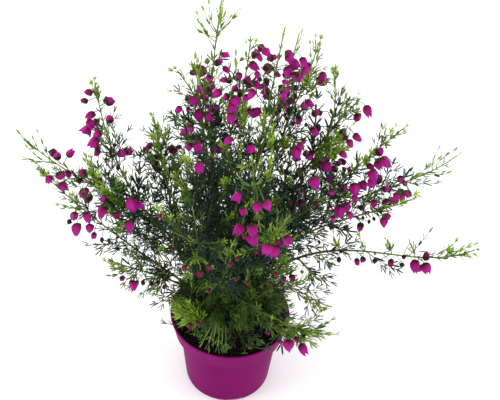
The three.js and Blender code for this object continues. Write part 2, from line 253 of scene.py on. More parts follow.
# Stem: ridged brown bark on old wood, smooth olive to yellow-green skin on this year's growth
def makeStemMaterial():
    material, tree, shader = newMaterial("young_bark", IOR=1.45, Specular_IOR_Level=0.2)
    uv, _, age = shadeAndPlace(tree)
    skins = (0, "#2c2818"), (0.3, "#39401e"), (0.55, "#5a6a28"), (0.8, "#7c9434"), (1, "#96ae48")
    skin = rampFrom(tree, age, *skins)
    streaks = grainOn(tree, shader, uv, (9, 60, 1), (0.5, 0.8), 0.3)
    tone = rampFrom(tree, streaks, (0.3, "#a89c8c"), (0.7, "#ffffff"))
    tree.links.new(blend(tree, "MULTIPLY", skin, tone, 0.7), shader.inputs["Base Color"])
    return material


# Pot: injection-moulded polypropylene, satin, with faint flow marks and fine rubbed rings from stacking
def makePotMaterial():
    material, tree, shader = newMaterial("moulded_polypropylene", IOR=1.49, Specular_IOR_Level=0.03)
    coords = addNode(tree, "ShaderNodeTexCoord").outputs["Object"]
    flow = addNode(tree, "ShaderNodeTexNoise", {"Scale": 22, "Detail": 2}, {"Vector": coords}).outputs["Fac"]
    colour = rampFrom(tree, flow, (0.3, "#6e0853"), (0.7, "#770b5c"))
    grainOn(tree, shader, coords, (60, 60, 1400), (0.4, 0.55), 0.15)
    tree.links.new(colour, shader.inputs["Base Color"])
    return material


# Potting mix: dark peat and composted bark with pale grains of perlite
def makeSoilMaterial():
    material, tree, shader = newMaterial("peat_and_bark", Specular_IOR_Level=0.1)
    coords = addNode(tree, "ShaderNodeTexCoord").outputs["Object"]
    crumbs = grainOn(tree, shader, coords, (420, 420, 420), (0.85, 1.0), 1.0)
    earths = (0.35, "#060504"), (0.55, "#110d0a"), (0.66, "#2a2018"), (0.74, "#5e4f42")
    tree.links.new(rampFrom(tree, crumbs, *earths), shader.inputs["Base Color"])
    return material


leafMaterial = makeLeafMaterial()
petalMaterial = makePetalMaterial()
budMaterial = makeBudMaterial()
stemMaterial = makeStemMaterial()
potMaterial = makePotMaterial()
soilMaterial = makeSoilMaterial()
print("materials made")


# Pieces

def finishPiece(name, shape, materials, nodes=(), smooth=True):
    mesh = bpy.data.meshes.new(name)
    shape.to_mesh(mesh)
    shape.free()
    for material in materials:
        mesh.materials.append(material)
    mesh.polygons.foreach_set("use_smooth", [smooth] * len(mesh.polygons))
    piece = bpy.data.objects.new(name, mesh)
    bpy.context.collection.objects.link(piece)
    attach(piece, "root")
    if nodes:
        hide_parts(*nodes)
    return piece


def toShape(part, name="shape"):
    # a mesh that copies are taken from
    shape = bpy.data.meshes.new(name)
    part.to_mesh(shape)
    part.free()
    return shape


mapLayout = {
    # how faces lie in their column of the map, as shares of its width and height
    "shadeStart": 0.04,
    "shadeWidth": 0.04,
    "shadeReach": 0.88,
    "edge": 0.02,
    "reach": 0.96,
}


def mapFaces(part, faces, placeAt, column):
    # lays faces on the piece's own map: a narrow strip in the column, running up with the place
    layer = part.loops.layers.uv.get(bakeMap) or part.loops.layers.uv.new(bakeMap)
    start, width = column
    for face in faces:
        for loop in face.loops:
            across, along = placeAt(loop.vert.co)
            shade = start + width * (mapLayout["shadeStart"] + mapLayout["shadeWidth"] * across)
            loop[layer].uv = (shade, mapLayout["edge"] + mapLayout["reach"] * clamp(along))


def addCopy(target, shape, place, shade=0.0, column=(0, 1)):
    # shade moves the part of the copy that lies in the column across it
    copy = shape.copy()
    copy.transform(place)
    if shade:
        start, width = column
        layer = copy.uv_layers[bakeMap].data
        uv = np.empty(len(layer) * 2, np.float32)
        layer.foreach_get("uv", uv)
        across = uv[::2]
        inside = (across >= start) & (across < start + width)
        uv[::2] = across + inside * shade * width * mapLayout["shadeReach"]
        layer.foreach_set("uv", uv)
    target.from_mesh(copy)
    bpy.data.meshes.remove(copy)


def placeAlong(position, along, facing, scale=1.0):
    # a matrix that stands a shape's Z along one direction, with its Y as near to another as it gets
    along = along.normalized()
    wide = facing.cross(along)
    wide = wide.normalized() if wide.length > tiny else along.orthogonal().normalized()
    deep = along.cross(wide)
    turn = Matrix((wide, deep, along)).transposed().to_4x4()
    return Matrix.Translation(position) @ turn @ Matrix.Scale(scale, 4)


def spunShape(outline, segments):
    # turns an outline of (radius, height) in mm about Z
    part = bmesh.new()
    verts = [part.verts.new((radius * mm, 0, height * mm)) for radius, height in outline]
    for a, b in zip(verts, verts[1:]):
        part.edges.new((a, b))
    bmesh.ops.spin(part, geom=part.verts[:] + part.edges[:], cent=(0, 0, 0), axis=(0, 0, 1), dvec=(0, 0, 0),
                   angle=2 * math.pi, steps=segments, use_merge=True)
    bmesh.ops.remove_doubles(part, verts=part.verts, dist=tiny)
    bmesh.ops.recalc_face_normals(part, faces=part.faces)
    return part


# Stems. Each leaves its parent at a fraction of the parent's length. Reach and height place the tip from the
# pot's axis and foot, in mm; arch lifts the stem most near its start and sway bends it sideways.

stemList = [
    # name, parent, at, azimuth, reach, height, arch, sway
    ("tall", "trunk", 0.95, 108, 65, 410, 20, 15),
    ("top_right", "trunk", 0.95, 56, 60, 390, 20, 0),
    ("front", "trunk", 0.92, 279, 70, 345, 10, 10),
    ("upper_left", "trunk", 0.89, 155, 145, 320, 20, 40),
    ("upper_right", "trunk", 0.86, 33, 130, 310, 0, 15),
    ("mid_right", "trunk", 0.84, 356, 160, 265, 30, 10),
    ("back", "trunk", 0.83, 85, 150, 235, 20, 0),
    ("mid_left", "trunk", 0.81, 166, 205, 260, 35, 5),
    ("front_left", "trunk", 0.81, 235, 100, 295, 20, 0),
    ("back_left", "trunk", 0.78, 122, 150, 215, 20, 0),
    ("back_right", "trunk", 0.72, 50, 140, 235, 20, 0),
    ("long_right", "trunk", 0.75, 2, 230, 185, 60, -10),
    ("low_left", "trunk", 0.7, 199, 120, 195, 5, -5),
    ("low_right", "trunk", 0.68, 324, 120, 145, 25, -15),
    ("tuft_left", "trunk", 0.64, 218, 60, 105, 20, 0),
    ("tuft_front", "trunk", 0.66, 256, 50, 100, 20, 0),
    ("tuft_right", "trunk", 0.6, 288, 60, 105, 20, -5),
    ("top_left", "tall", 0.25, 135, 55, 360, 20, 5),
    ("top_middle", "tall", 0.35, 74, 20, 400, 15, -5),
    ("top_front", "top_right", 0.3, 12, 45, 415, 25, -5),
    ("top_far_right", "upper_right", 0.25, 46, 95, 370, 40, 0),
    ("thin_right", "upper_right", 0.6, 36, 100, 345, 5, -20),
    ("right_fork", "upper_right", 0.3, 12, 150, 310, -10, 0),
    ("outer_right", "mid_right", 0.3, 11, 205, 275, 25, -10),
    ("front_side", "mid_right", 0.2, 324, 85, 290, 20, 0),
    ("right_budded", "low_right", 0.25, 327, 110, 170, 25, 5),
    ("right_inner", "long_right", 0.25, 334, 90, 185, 10, -5),
    ("far_left", "upper_left", 0.2, 123, 110, 315, 5, -30),
    ("left_tuft", "upper_left", 0.3, 143, 100, 285, 20, 0),
    ("left_bright", "mid_left", 0.35, 172, 135, 265, 20, 30),
    ("drooping_left", "low_left", 0.3, 177, 180, 260, 5, 10),
    ("front_right", "front", 0.25, 290, 115, 320, 0, 5),
    ("front_top", "front", 0.35, 250, 30, 325, 20, 0),
    ("front_centre", "front", 0.15, 269, 110, 285, 20, 0),
    ("front_low", "front_left", 0.3, 252, 105, 285, 20, 0),
    ("front_upper", "front_left", 0.35, 226, 55, 315, 20, 0),
    ("back_low_left", "back_left", 0.3, 150, 140, 150, 20, 0),
    ("back_low", "back", 0.2, 95, 115, 145, 20, 0),
    ("back_low_right", "back_right", 0.3, 30, 110, 150, 20, 0),
]
stemSizes = {
    "trunkFoot": 40,
    "trunkTop": 112,
    "rootRadius": 4.6,
    "trunkTopRadius": 3.2,
    "boughRadius": 1.5,
    "branchRadius": 1.1,
    "tipRadius": 0.55,
    "ringSpacing": 6,
    "nodeSwelling": 0.16,
    # a bough's skin age at its foot: lower, so darker, for the stems inside the bush, as painted shade
    "boughAge": 0.12,
    "sunlitBoughAge": 0.32,
    "branchAge": 0.4,
    "trunkAges": (0, 0.1),
    "trunkSides": 12,
    "sides": 6,
    "fewestRings": 6,
}
shadedTips = {
    # how young, and so how light, the skin gets at the tip of a stem inside the bush: its darker skin is
    # painted shade; elsewhere it gets to 1
    "tuft_left": 0.5, "tuft_front": 0.5, "tuft_right": 0.5, "front_left": 0.55, "front_low": 0.55,
    "front_centre": 0.5, "front_upper": 0.45, "front_top": 0.6, "front_side": 0.6, "front": 0.7,
}


def stemPath(base, tip, side, arch, sway):
    # the factors make the greatest lift equal the arch and the greatest bend equal the sway
    def path(t):
        lift = 27 / 4 * t * (1 - t) ** 2 * arch
        return base.lerp(tip, t) + up * lift + side * (4 * t * (1 - t) * sway)
    return path


def shootPath(base, direction, length, lift):
    return lambda t: base + direction * (length * t) + up * (lift * t * t)


def bezierPath(start, middle, end):
    return lambda t: start * (1 - t) ** 2 + middle * (2 * t * (1 - t)) + end * t ** 2


def newShoot(name, path, side, startRadius, endRadius, order, stem, ages, leafing):
    # ages colour the skin; leafing lists stretches of (from, to, leaf style, scale, first shade, last shade)
    steps = 8
    places = [path(i / steps) for i in range(steps + 1)]
    length = sum((b - a).length for a, b in zip(places, places[1:]))
    return {
        "name": name, "path": path, "side": side, "radii": (startRadius * mm, endRadius * mm), "order": order,
        "stem": stem, "ages": ages, "length": length, "leafing": leafing,
    }


def leaning(forward, sideways, angle):
    return forward * math.cos(angle) + sideways * math.sin(angle)


def frameAt(shoot, t):
    step = 0.01
    tangent = (shoot["path"](t + step) - shoot["path"](t - step)).normalized()
    across = (shoot["side"] - tangent * shoot["side"].dot(tangent)).normalized()
    return tangent, across, across.cross(tangent)


def outwards(shoot, t, turn):
    # the directions along a shoot and away from it, in degrees about it
    tangent, across, over = frameAt(shoot, t)
    return tangent, leaning(across, over, math.radians(turn))


def growStems():
    trunkBase = up * stemSizes["trunkFoot"] * mm
    trunkTip = up * stemSizes["trunkTop"] * mm
    trunkPath = stemPath(trunkBase, trunkTip, Vector((0, 1, 0)), 0, 0)
    radii, ages = (stemSizes["rootRadius"], stemSizes["trunkTopRadius"]), stemSizes["trunkAges"]
    grown = {"trunk": newShoot("trunk", trunkPath, Vector((0, 1, 0)), *radii, 0, "trunk", ages, [])}
    for name, parent, at, azimuth, reach, height, arch, sway in stemList:
        angle = math.radians(azimuth)
        base = grown[parent]["path"](at)
        tip = Vector((reach * math.cos(angle), reach * math.sin(angle), height)) * mm
        side = Vector((-math.sin(angle), math.cos(angle), 0))
        path = stemPath(base, tip, side, arch * mm, sway * mm)
        isBough = parent == "trunk"
        radii = stemSizes["boughRadius" if isBough else "branchRadius"], stemSizes["tipRadius"]
        # a stem inside the bush also starts older and darker, as painted shade; the others start as sunlit
        # boughs
        boughAge = stemSizes["boughAge" if name in shadedTips else "sunlitBoughAge"]
        ages = (boughAge if isBough else stemSizes["branchAge"], shadedTips.get(name, 1))
        grown[name] = newShoot(name, path, side, *radii, 1, name, ages, shootPlan["stemLeafing"])
    return grown


# Side shoots. Low on a stem they are long and leafy, along its flowering stretch short and nearly bare, and
# the last pair forks beside the tip.

shootPlan = {
    "seed": 11,
    "tufts": ["tuft_left", "tuft_front", "tuft_right"],
    "twigs": {
        # as in the solid model: place, turn and length of each
        "bough": [(0.36, 45, 38), (0.54, 180, 34), (0.72, 315, 26)],
        "branch": [(0.45, 45, 32), (0.68, 180, 26)],
        "lean": 48,
        "lift": 6,
        "leafyBelow": 0.6,
    },
    "stemLeafing": [
        (0.14, 0.55, "full", 0.95, 0.16, 0.3), (0.55, 0.9, "sparse", 1.0, 0.28, 0.5),
        (0.94, 1, "tip", 0.75, 0.6, 0.85),
    ],
    "zones": {
        # stretch of the stem, distance between pairs, first and last length, lean, share left out
        "leafy": {"stretch": (0.14, 0.56), "apart": 13, "lengths": (50, 28), "lean": 50, "leftOut": 0.1},
        "flowering": {"stretch": (0.58, 0.86), "apart": 20, "lengths": (22, 14), "lean": 42, "leftOut": 0.25},
        "tip": {"stretch": (0.9, 0.96), "apart": 30, "lengths": (13, 9), "lean": 28, "leftOut": 0.4},
    },
    "tuftLengths": (30, 20),
    "leafing": {
        "leafy": [(0.12, 1, "full", 1.0, 0.1, 0.36)],
        "fresh": [(0.12, 0.55, "full", 1.0, 0.24, 0.46), (0.6, 1, "tip", 1.1, 0.56, 0.9)],
        "flowering": [(0.25, 1, "sparse", 0.95, 0.34, 0.64)],
        "tip": [(0.4, 1, "tip", 0.85, 0.65, 0.95)],
        "tuft": [(0.12, 1, "needle", 1.0, 0.35, 0.66)],
        "skirt": [(0.1, 1, "needle", 1.0, 0.36, 0.66)],
        "model": [(0.4, 1, "erect", 1.0, 0.5, 0.8)],
        "crown": [(0.6, 1, "erect", 1.0, 0.7, 0.9)],
        "thin": [(0.5, 1, "erect", 0.85, 0.66, 0.92)],
        "plume": [(0.1, 1, "needle", 1.0, 0.4, 0.68)],
        # the darker leaves of the shaded shoots are painted shade
        "shaded": [(0.1, 1, "needle", 1.15, 0.16, 0.44)],
        "right": [(0.2, 1, "tip", 1.0, 0.8, 1.0)],
        "left": [(0.25, 1, "tip", 1.0, 0.7, 0.95)],
        "centre": [(0.35, 1, "spray", 0.8, 0.6, 0.9)],
        "spray": [(0.3, 1, "spray", 1.0, 0.8, 1.0)],
    },
    "ages": {
        "leafy": (0.16, 0.5), "fresh": (0.3, 0.85), "flowering": (0.45, 0.8), "tip": (0.7, 1),
        "tuft": (0.2, 0.6), "skirt": (0.1, 0.5), "model": (0.4, 0.9),
    },
    "fresh": 0.38,
    "radius": 0.5,
    "tipRadius": 0.32,
    "rod": (5, 4),
    "lift": 0.2,
    "uneven": {"along": 0.3, "turn": 25, "length": (0.65, 1.15), "lean": (-9, 11)},
    "bareLength": 0.6,
    "shortest": 6,
    "shortening": 0.85,
    "leafRoom": 8,
}
shootRings = {
    # shoots round the trunk's top: how many, from which part of it, their azimuths, rise and lengths
    "skirt": {"count": 124, "from": (0.7, 1), "azimuth": (0, 360), "rise": (8, 74), "lengths": (52, 84)},
    "apron": {"count": 30, "from": (0.7, 0.95), "azimuth": (190, 300), "rise": (-4, 22), "lengths": (34, 52)},
    "face": {"count": 34, "from": (0.5, 0.95), "azimuth": (225, 330), "rise": (24, 62), "lengths": (36, 58)},
    "right": {"count": 18, "from": (0.7, 0.95), "azimuth": (-30, 40), "rise": (8, 26), "lengths": (48, 60)},
    "left": {"count": 16, "from": (0.7, 0.95), "azimuth": (145, 205), "rise": (10, 28), "lengths": (46, 58)},
}
ringLook = {"step": 0.618, "turn": 8, "length": (0.85, 1.1), "lift": 0.1}
bushiness = {
    # how leafy a stem is where the photo shows it barer or fuller than the others
    "long_right": 0.05, "low_right": 0.2, "right_budded": 0.1, "right_inner": 0.15, "tall": 0.6,
    "top_left": 1.2, "top_middle": 0.4, "top_front": 0.2, "top_far_right": 0.75, "top_right": 0.7,
    "thin_right": 0.75, "outer_right": 0.45, "mid_left": 0.65, "upper_left": 1.3, "far_left": 1.4,
    "left_bright": 0.75, "left_tuft": 0.85, "drooping_left": 0.6, "low_left": 0.75, "right_fork": 0.95,
    "mid_right": 0.4, "upper_right": 1.3, "back": 0.8, "back_left": 0.8, "back_right": 1.1,
    "back_low_right": 0.2, "front_side": 1.1,
}
leafyShoots = {
    # the solid model's nine leafy shoots: stem, place along it and turn about it
    "leafy_shoot_tall": ("tall", 0.9, 200), "leafy_shoot_mid_left": ("mid_left", 0.86, 60),
    "leafy_shoot_outer_right": ("outer_right", 0.8, 90), "leafy_shoot_long_right": ("long_right", 0.84, 60),
    "leafy_shoot_right_fork": ("right_fork", 0.84, 240), "leafy_shoot_low_right": ("low_right", 0.8, 0),
    "leafy_shoot_low_left": ("low_left", 0.8, 60), "leafy_shoot_front": ("front", 0.86, 100),
    "leafy_shoot_tuft": ("tuft_left", 0.7, 60),
}
leafyShootSizes = {"length": 24, "lean": 42, "lift": 6}


# Nothing hangs low over the pot's rim, or in front of the pot, which the photo shows bare; in mm
potClear = {
    "reach": 50, "lip": 58, "height": 97, "past": 8,
    "frontShare": 0.5, "pastInFront": 24, "fall": 0.9,
}


def hangsOverRim(place):
    reach, height, past = place.xy.length / mm, potClear["height"], potClear["past"]
    side = potClear["frontShare"] * reach
    if place.y / mm < -side and place.x / mm < side:
        height += potClear["fall"] * max(0, reach - potClear["lip"])
        past = potClear["pastInFront"]
    return potClear["reach"] < reach < potClear["lip"] + past and place.z / mm < height


def branchOff(parent, at, turn, length, lean, lift, kind):
    # a side shoot, from inside its parent, with its lift as a share of its length
    direction = leaning(*outwards(parent, at, turn), math.radians(lean))
    return shootTowards(parent, at, direction, length, lift, kind)


def shootTowards(parent, at, direction, length, lift, kind):
    # shortened until its tip stays in the box and clear of the pot
    side = direction.cross(up).normalized()
    base = parent["path"](at)
    while length > shootPlan["shortest"]:
        tip = base + direction * length * mm + up * lift * length * mm
        if fits(tip + direction * shootPlan["leafRoom"] * mm) and not hangsOverRim(tip):
            break
        length *= shootPlan["shortening"]
    path = shootPath(base, direction, length * mm, lift * length * mm)
    radii, name = (shootPlan["radius"], shootPlan["tipRadius"]), parent["name"] + "_shoot"
    ages, leafing = shootPlan["ages"][kind], shootPlan["leafing"][kind]
    return newShoot(name, path, side, *radii, 2, parent["stem"], ages, leafing)


clearings = [
    # gaps of the photo in which no side shoot ends: middle and radius in pixels
    (341, 237, 17), (362, 234, 12), (312, 88, 10), (412, 187, 13), (438, 163, 10), (168, 106, 12),
    (312, 312, 15), (312, 284, 9), (85, 236, 10), (112, 262, 8), (168, 288, 9), (240, 339, 11), (87, 187, 9),
    (336, 114, 9), (318, 262, 8), (307, 236, 7), (137, 190, 9), (396, 137, 7),
]


def endsInClearing(shoot):
    x, y, _ = pixelOf(shoot["path"](1))
    return any(math.hypot(x - gapX, y - gapY) < radius for gapX, gapY, radius in clearings)


def growTwigs(stem, place):
    twigs = shootPlan["twigs"]
    for at, turn, length in twigs[place]:
        kind = "leafy" if at < twigs["leafyBelow"] else "flowering"
        yield branchOff(stem, at, turn, length, twigs["lean"], twigs["lift"] / length, kind)


def growPairs(stem, kind, zone, draw):
    # opposite pairs along a zone of the stem, each pair a right angle on from the last
    uneven, bare, bushy = shootPlan["uneven"], shootPlan["bareLength"], bushiness.get(stem["name"], 1)
    lengths = shootPlan["tuftLengths"] if kind == "tuft" else zone["lengths"]
    leftOut = 1 - (1 - zone["leftOut"]) * bushy
    low, high = zone["stretch"]
    pairs = max(1, round(stem["length"] * (high - low) / (zone["apart"] * mm)))
    for i in range(pairs):
        along = (i + 0.5 + draw.uniform(-uneven["along"], uneven["along"])) / pairs
        turn = 90 * i + draw.uniform(-uneven["turn"], uneven["turn"])
        for opposite in (0, 180):
            length = between(lengths, along) * (draw.uniform(*uneven["length"]) * (bare + (1 - bare) * bushy))
            lean = zone["lean"] + draw.uniform(*uneven["lean"])
            isLeftOut, isFresh = draw.random() < leftOut, draw.random() < shootPlan["fresh"]
            if not isLeftOut:
                grown = "fresh" if kind == "leafy" and isFresh else kind
                at = between(zone["stretch"], along)
                yield branchOff(stem, at, turn + opposite, length, lean, shootPlan["lift"], grown)


def growRing(trunk, ring, draw):
    # shoots round the trunk's top, each a golden section of the ring's arc on from the last
    for i in range(ring["count"]):
        at = draw.uniform(*ring["from"])
        turn = between(ring["azimuth"], i * ringLook["step"] % 1)
        azimuth = math.radians(turn + draw.uniform(-ringLook["turn"], ringLook["turn"]))
        upright = draw.random()
        rise = math.radians(between(ring["rise"], upright))
        level = math.cos(rise)
        direction = Vector((math.cos(azimuth) * level, math.sin(azimuth) * level, math.sin(rise)))
        length = between(ring["lengths"], upright) * draw.uniform(*ringLook["length"])
        yield shootTowards(trunk, at, direction, length, ringLook["lift"], "skirt")


def growShoots(stems):
    shoots = []
    draw = random.Random(shootPlan["seed"])
    for name, parent, *_ in stemList:
        isTuft = name in shootPlan["tufts"]
        if not isTuft:
            shoots += growTwigs(stems[name], "bough" if parent == "trunk" else "branch")
        for kind, zone in shootPlan["zones"].items():
            grown = growPairs(stems[name], "tuft" if isTuft else kind, zone, draw)
            shoots += [shoot for shoot in grown if not endsInClearing(shoot)]
    for ring in shootRings.values():
        shoots += [shoot for shoot in growRing(stems["trunk"], ring, draw) if not endsInClearing(shoot)]
    for stem, at, turn in leafyShoots.values():
        size = leafyShootSizes
        lift = size["lift"] / size["length"]
        shoots.append(branchOff(stems[stem], at, turn, size["length"], size["lean"], lift, "model"))
    return shoots


# What the photo shows, by pixels of its 500 x 400 frame. Every one of these still grows from a stem or shoot.

brightShoots = {
    # foot and tip of each young shoot, and how full it is; the plume ones are greener, and the shaded ones
    # darker, with painted shade
    "crown": [
        (214, 50, 198, 15, 0.6), (210, 40, 200, 24, 0.7), (213, 33, 204, 11, 0.8), (211, 30, 209, 5, 0.7),
        (214, 48, 224, 17, 0.7), (217, 37, 223, 3, 1.1), (217, 37, 229, 19, 0.8), (204, 35, 197, 29, 0.8),
    ],
    "thin": [
        (195, 79, 195, 60, 1.2), (202, 90, 198, 74, 0.9), (188, 75, 174, 71, 0.8), (246, 62, 246, 44, 0.6),
        (236, 82, 236, 57, 1.0), (277, 68, 283, 35, 0.4), (295, 58, 301, 35, 0.4), (311, 62, 310, 45, 0.5),
        (315, 72, 321, 40, 0.5), (303, 88, 311, 67, 1.1), (312, 92, 319, 79, 0.8), (243, 120, 243, 99, 1.5),
        (304, 119, 305, 104, 1.0), (336, 107, 334, 73, 0.8), (337, 120, 345, 99, 0.9),
        (357, 107, 358, 96, 0.8), (336, 104, 326, 86, 0.5), (208, 100, 213, 84, 0.8),
        (224, 98, 219, 80, 0.7), (36, 152, 21, 135, 0.8), (50, 160, 38, 133, 0.6), (48, 166, 28, 148, 0.5),
        (434, 162, 453, 151, 0.7), (420, 172, 441, 172, 0.4), (430, 165, 438, 150, 0.5),
        (187, 176, 184, 137, 0.6), (240, 138, 246, 110, 1.4), (226, 130, 223, 104, 1.0),
        (265, 135, 264, 98, 0.5), (206, 102, 200, 82, 1.0), (233, 100, 232, 84, 1.0),
        (277, 126, 283, 111, 1.0), (334, 128, 352, 101, 0.9), (338, 137, 352, 125, 0.7),
        (388, 138, 402, 134, 0.5), (256, 200, 252, 161, 0.6), (254, 190, 240, 179, 0.9),
        (254, 190, 263, 176, 0.9), (345, 214, 352, 203, 0.8), (362, 210, 368, 198, 0.8),
        (376, 206, 384, 192, 0.8), (352, 212, 360, 222, 0.7), (370, 208, 378, 216, 0.7),
        (300, 176, 306, 160, 1.0), (288, 168, 293, 156, 1.0),
    ],
    "plume": [
        (217, 318, 209, 342, 0.9), (221, 316, 218, 346, 0.9), (214, 320, 203, 341, 0.8),
        (226, 317, 226, 340, 0.8), (218, 319, 214, 337, 0.8), (223, 318, 222, 344, 0.8),
        (150, 268, 133, 284, 0.9), (158, 272, 145, 290, 0.9), (142, 266, 127, 280, 0.8),
        (164, 276, 152, 288, 0.8),
    ],
    # darker young shoots where the bush's inside lies in shade: their dark leaves are painted shade
    "shaded": [
        (330, 208, 345, 192, 1.0), (335, 202, 350, 194, 0.9), (345, 214, 362, 204, 0.9),
        (352, 206, 368, 212, 0.8), (360, 213, 373, 205, 0.8), (338, 198, 334, 182, 1.0),
        (346, 194, 343, 177, 0.9), (354, 196, 363, 182, 0.8), (368, 202, 380, 191, 0.7),
        (328, 198, 327, 180, 1.0), (286, 182, 280, 160, 1.0), (293, 180, 290, 158, 1.0),
        (301, 184, 296, 166, 1.0), (284, 174, 275, 157, 0.9), (308, 192, 305, 176, 1.0),
        (316, 196, 320, 180, 1.0), (166, 276, 155, 258, 0.9), (173, 270, 163, 254, 0.9),
        (161, 263, 150, 252, 0.8), (166, 202, 156, 182, 1.0), (173, 198, 164, 178, 1.0),
        (161, 192, 152, 178, 0.9), (113, 151, 104, 135, 0.8), (119, 151, 114, 132, 0.8),
        (182, 142, 176, 126, 0.9), (282, 186, 278, 168, 0.9), (121, 147, 127, 133, 0.7),
        (372, 210, 384, 206, 0.9), (364, 206, 376, 200, 0.9), (166, 270, 152, 262, 0.9),
        (190, 140, 186, 122, 0.9), (194, 124, 188, 108, 0.8), (86, 214, 78, 202, 0.8),
        (92, 216, 84, 206, 0.8), (186, 222, 178, 206, 1.0), (196, 224, 192, 206, 1.0),
    ],
    "right": [
        (313, 168, 330, 146, 1.4), (328, 150, 342, 141, 1.4), (322, 160, 338, 152, 1.3),
        (380, 146, 394, 128, 0.5), (408, 182, 437, 160, 0.7), (365, 250, 360, 238, 0.6),
        (392, 253, 386, 240, 0.7), (415, 255, 410, 243, 0.7), (436, 257, 454, 243, 0.7),
        (444, 255, 473, 245, 0.8), (458, 254, 472, 254, 0.6), (340, 250, 334, 238, 0.8),
        (310, 168, 318, 150, 1.2), (350, 173, 369, 156, 1.2), (360, 166, 374, 150, 0.7),
        (392, 205, 412, 196, 0.6), (374, 212, 394, 203, 0.8), (276, 154, 274, 131, 1.6),
        (271, 152, 270, 134, 1.2), (281, 155, 288, 138, 1.5), (267, 184, 270, 165, 1.1),
        (306, 97, 314, 81, 0.9), (311, 170, 324, 158, 1.2), (320, 154, 333, 137, 1.1),
        (330, 158, 345, 150, 1.2),
    ],
    "left": [
        (66, 192, 38, 165, 0.8), (80, 214, 69, 191, 0.8), (116, 200, 100, 188, 1.1),
        (100, 190, 87, 159, 1.0), (160, 132, 152, 117, 0.6), (120, 276, 122, 256, 0.5),
        (78, 210, 62, 205, 0.6), (97, 182, 86, 163, 0.7), (106, 192, 93, 178, 0.7),
        (112, 198, 102, 180, 0.9), (124, 200, 108, 194, 1.0), (118, 204, 105, 187, 1.0),
        (127, 207, 113, 198, 1.0), (160, 162, 155, 140, 0.7), (168, 180, 163, 158, 0.7),
        (124, 273, 107, 262, 0.5), (136, 278, 118, 266, 0.5), (66, 178, 52, 164, 0.6),
        (76, 188, 62, 178, 0.6),
    ],
    "centre": [
        (254, 198, 245, 208, 0.7), (254, 200, 258, 219, 0.8), (270, 182, 273, 130, 0.6),
        (264, 139, 264, 121, 1.1), (189, 250, 207, 264, 0.8), (222, 264, 230, 249, 0.7),
        (185, 252, 184, 238, 0.7), (211, 291, 232, 270, 0.9), (193, 296, 192, 282, 1.0),
        (247, 284, 247, 271, 0.9), (266, 272, 280, 260, 1.1), (270, 279, 286, 268, 1.1),
        (282, 277, 299, 266, 0.9), (284, 278, 288, 263, 0.9), (286, 288, 303, 280, 0.8),
        (258, 325, 258, 314, 1.0), (268, 334, 271, 322, 0.6), (285, 328, 310, 336, 1.2),
        (302, 333, 324, 333, 1.3), (300, 296, 322, 308, 0.8), (292, 328, 310, 330, 1.0),
        (284, 329, 300, 342, 1.0), (292, 331, 312, 343, 1.0), (288, 330, 304, 324, 1.0),
        (266, 326, 284, 330, 1.0), (272, 328, 292, 334, 1.2), (276, 324, 292, 325, 0.9),
    ],
}
brightTufts = [
    # fans of young shoots: the foot of each, the middle and radius of its tips, and how many it has
    (268, 246, 276, 234, 12, 8), (201, 320, 187, 313, 15, 11), (326, 156, 337, 146, 8, 3),
    (242, 120, 244, 107, 7, 5), (304, 90, 308, 78, 7, 3), (160, 148, 159, 134, 8, 3),
]
youngLook = {
    "seed": 31,
    "reach": 5,
    "radii": (0.42, 0.3),
    "ages": (0.4, 1),
    "footNearer": 3,
    "tipShift": (-14, -4),
    "drawnBack": 0.1,
    "leafScale": (0.55, 0.6),
    "tuftTurn": 14,
    "tuftReach": (0.3, 0.9),
    "tuftFoot": 4,
    "tuftFullness": 0.8,
}
sightPlan = {"spacing": 3, "stemFrom": 0.3, "shootFrom": 0.25, "reach": 12, "asideWeight": 1.5}
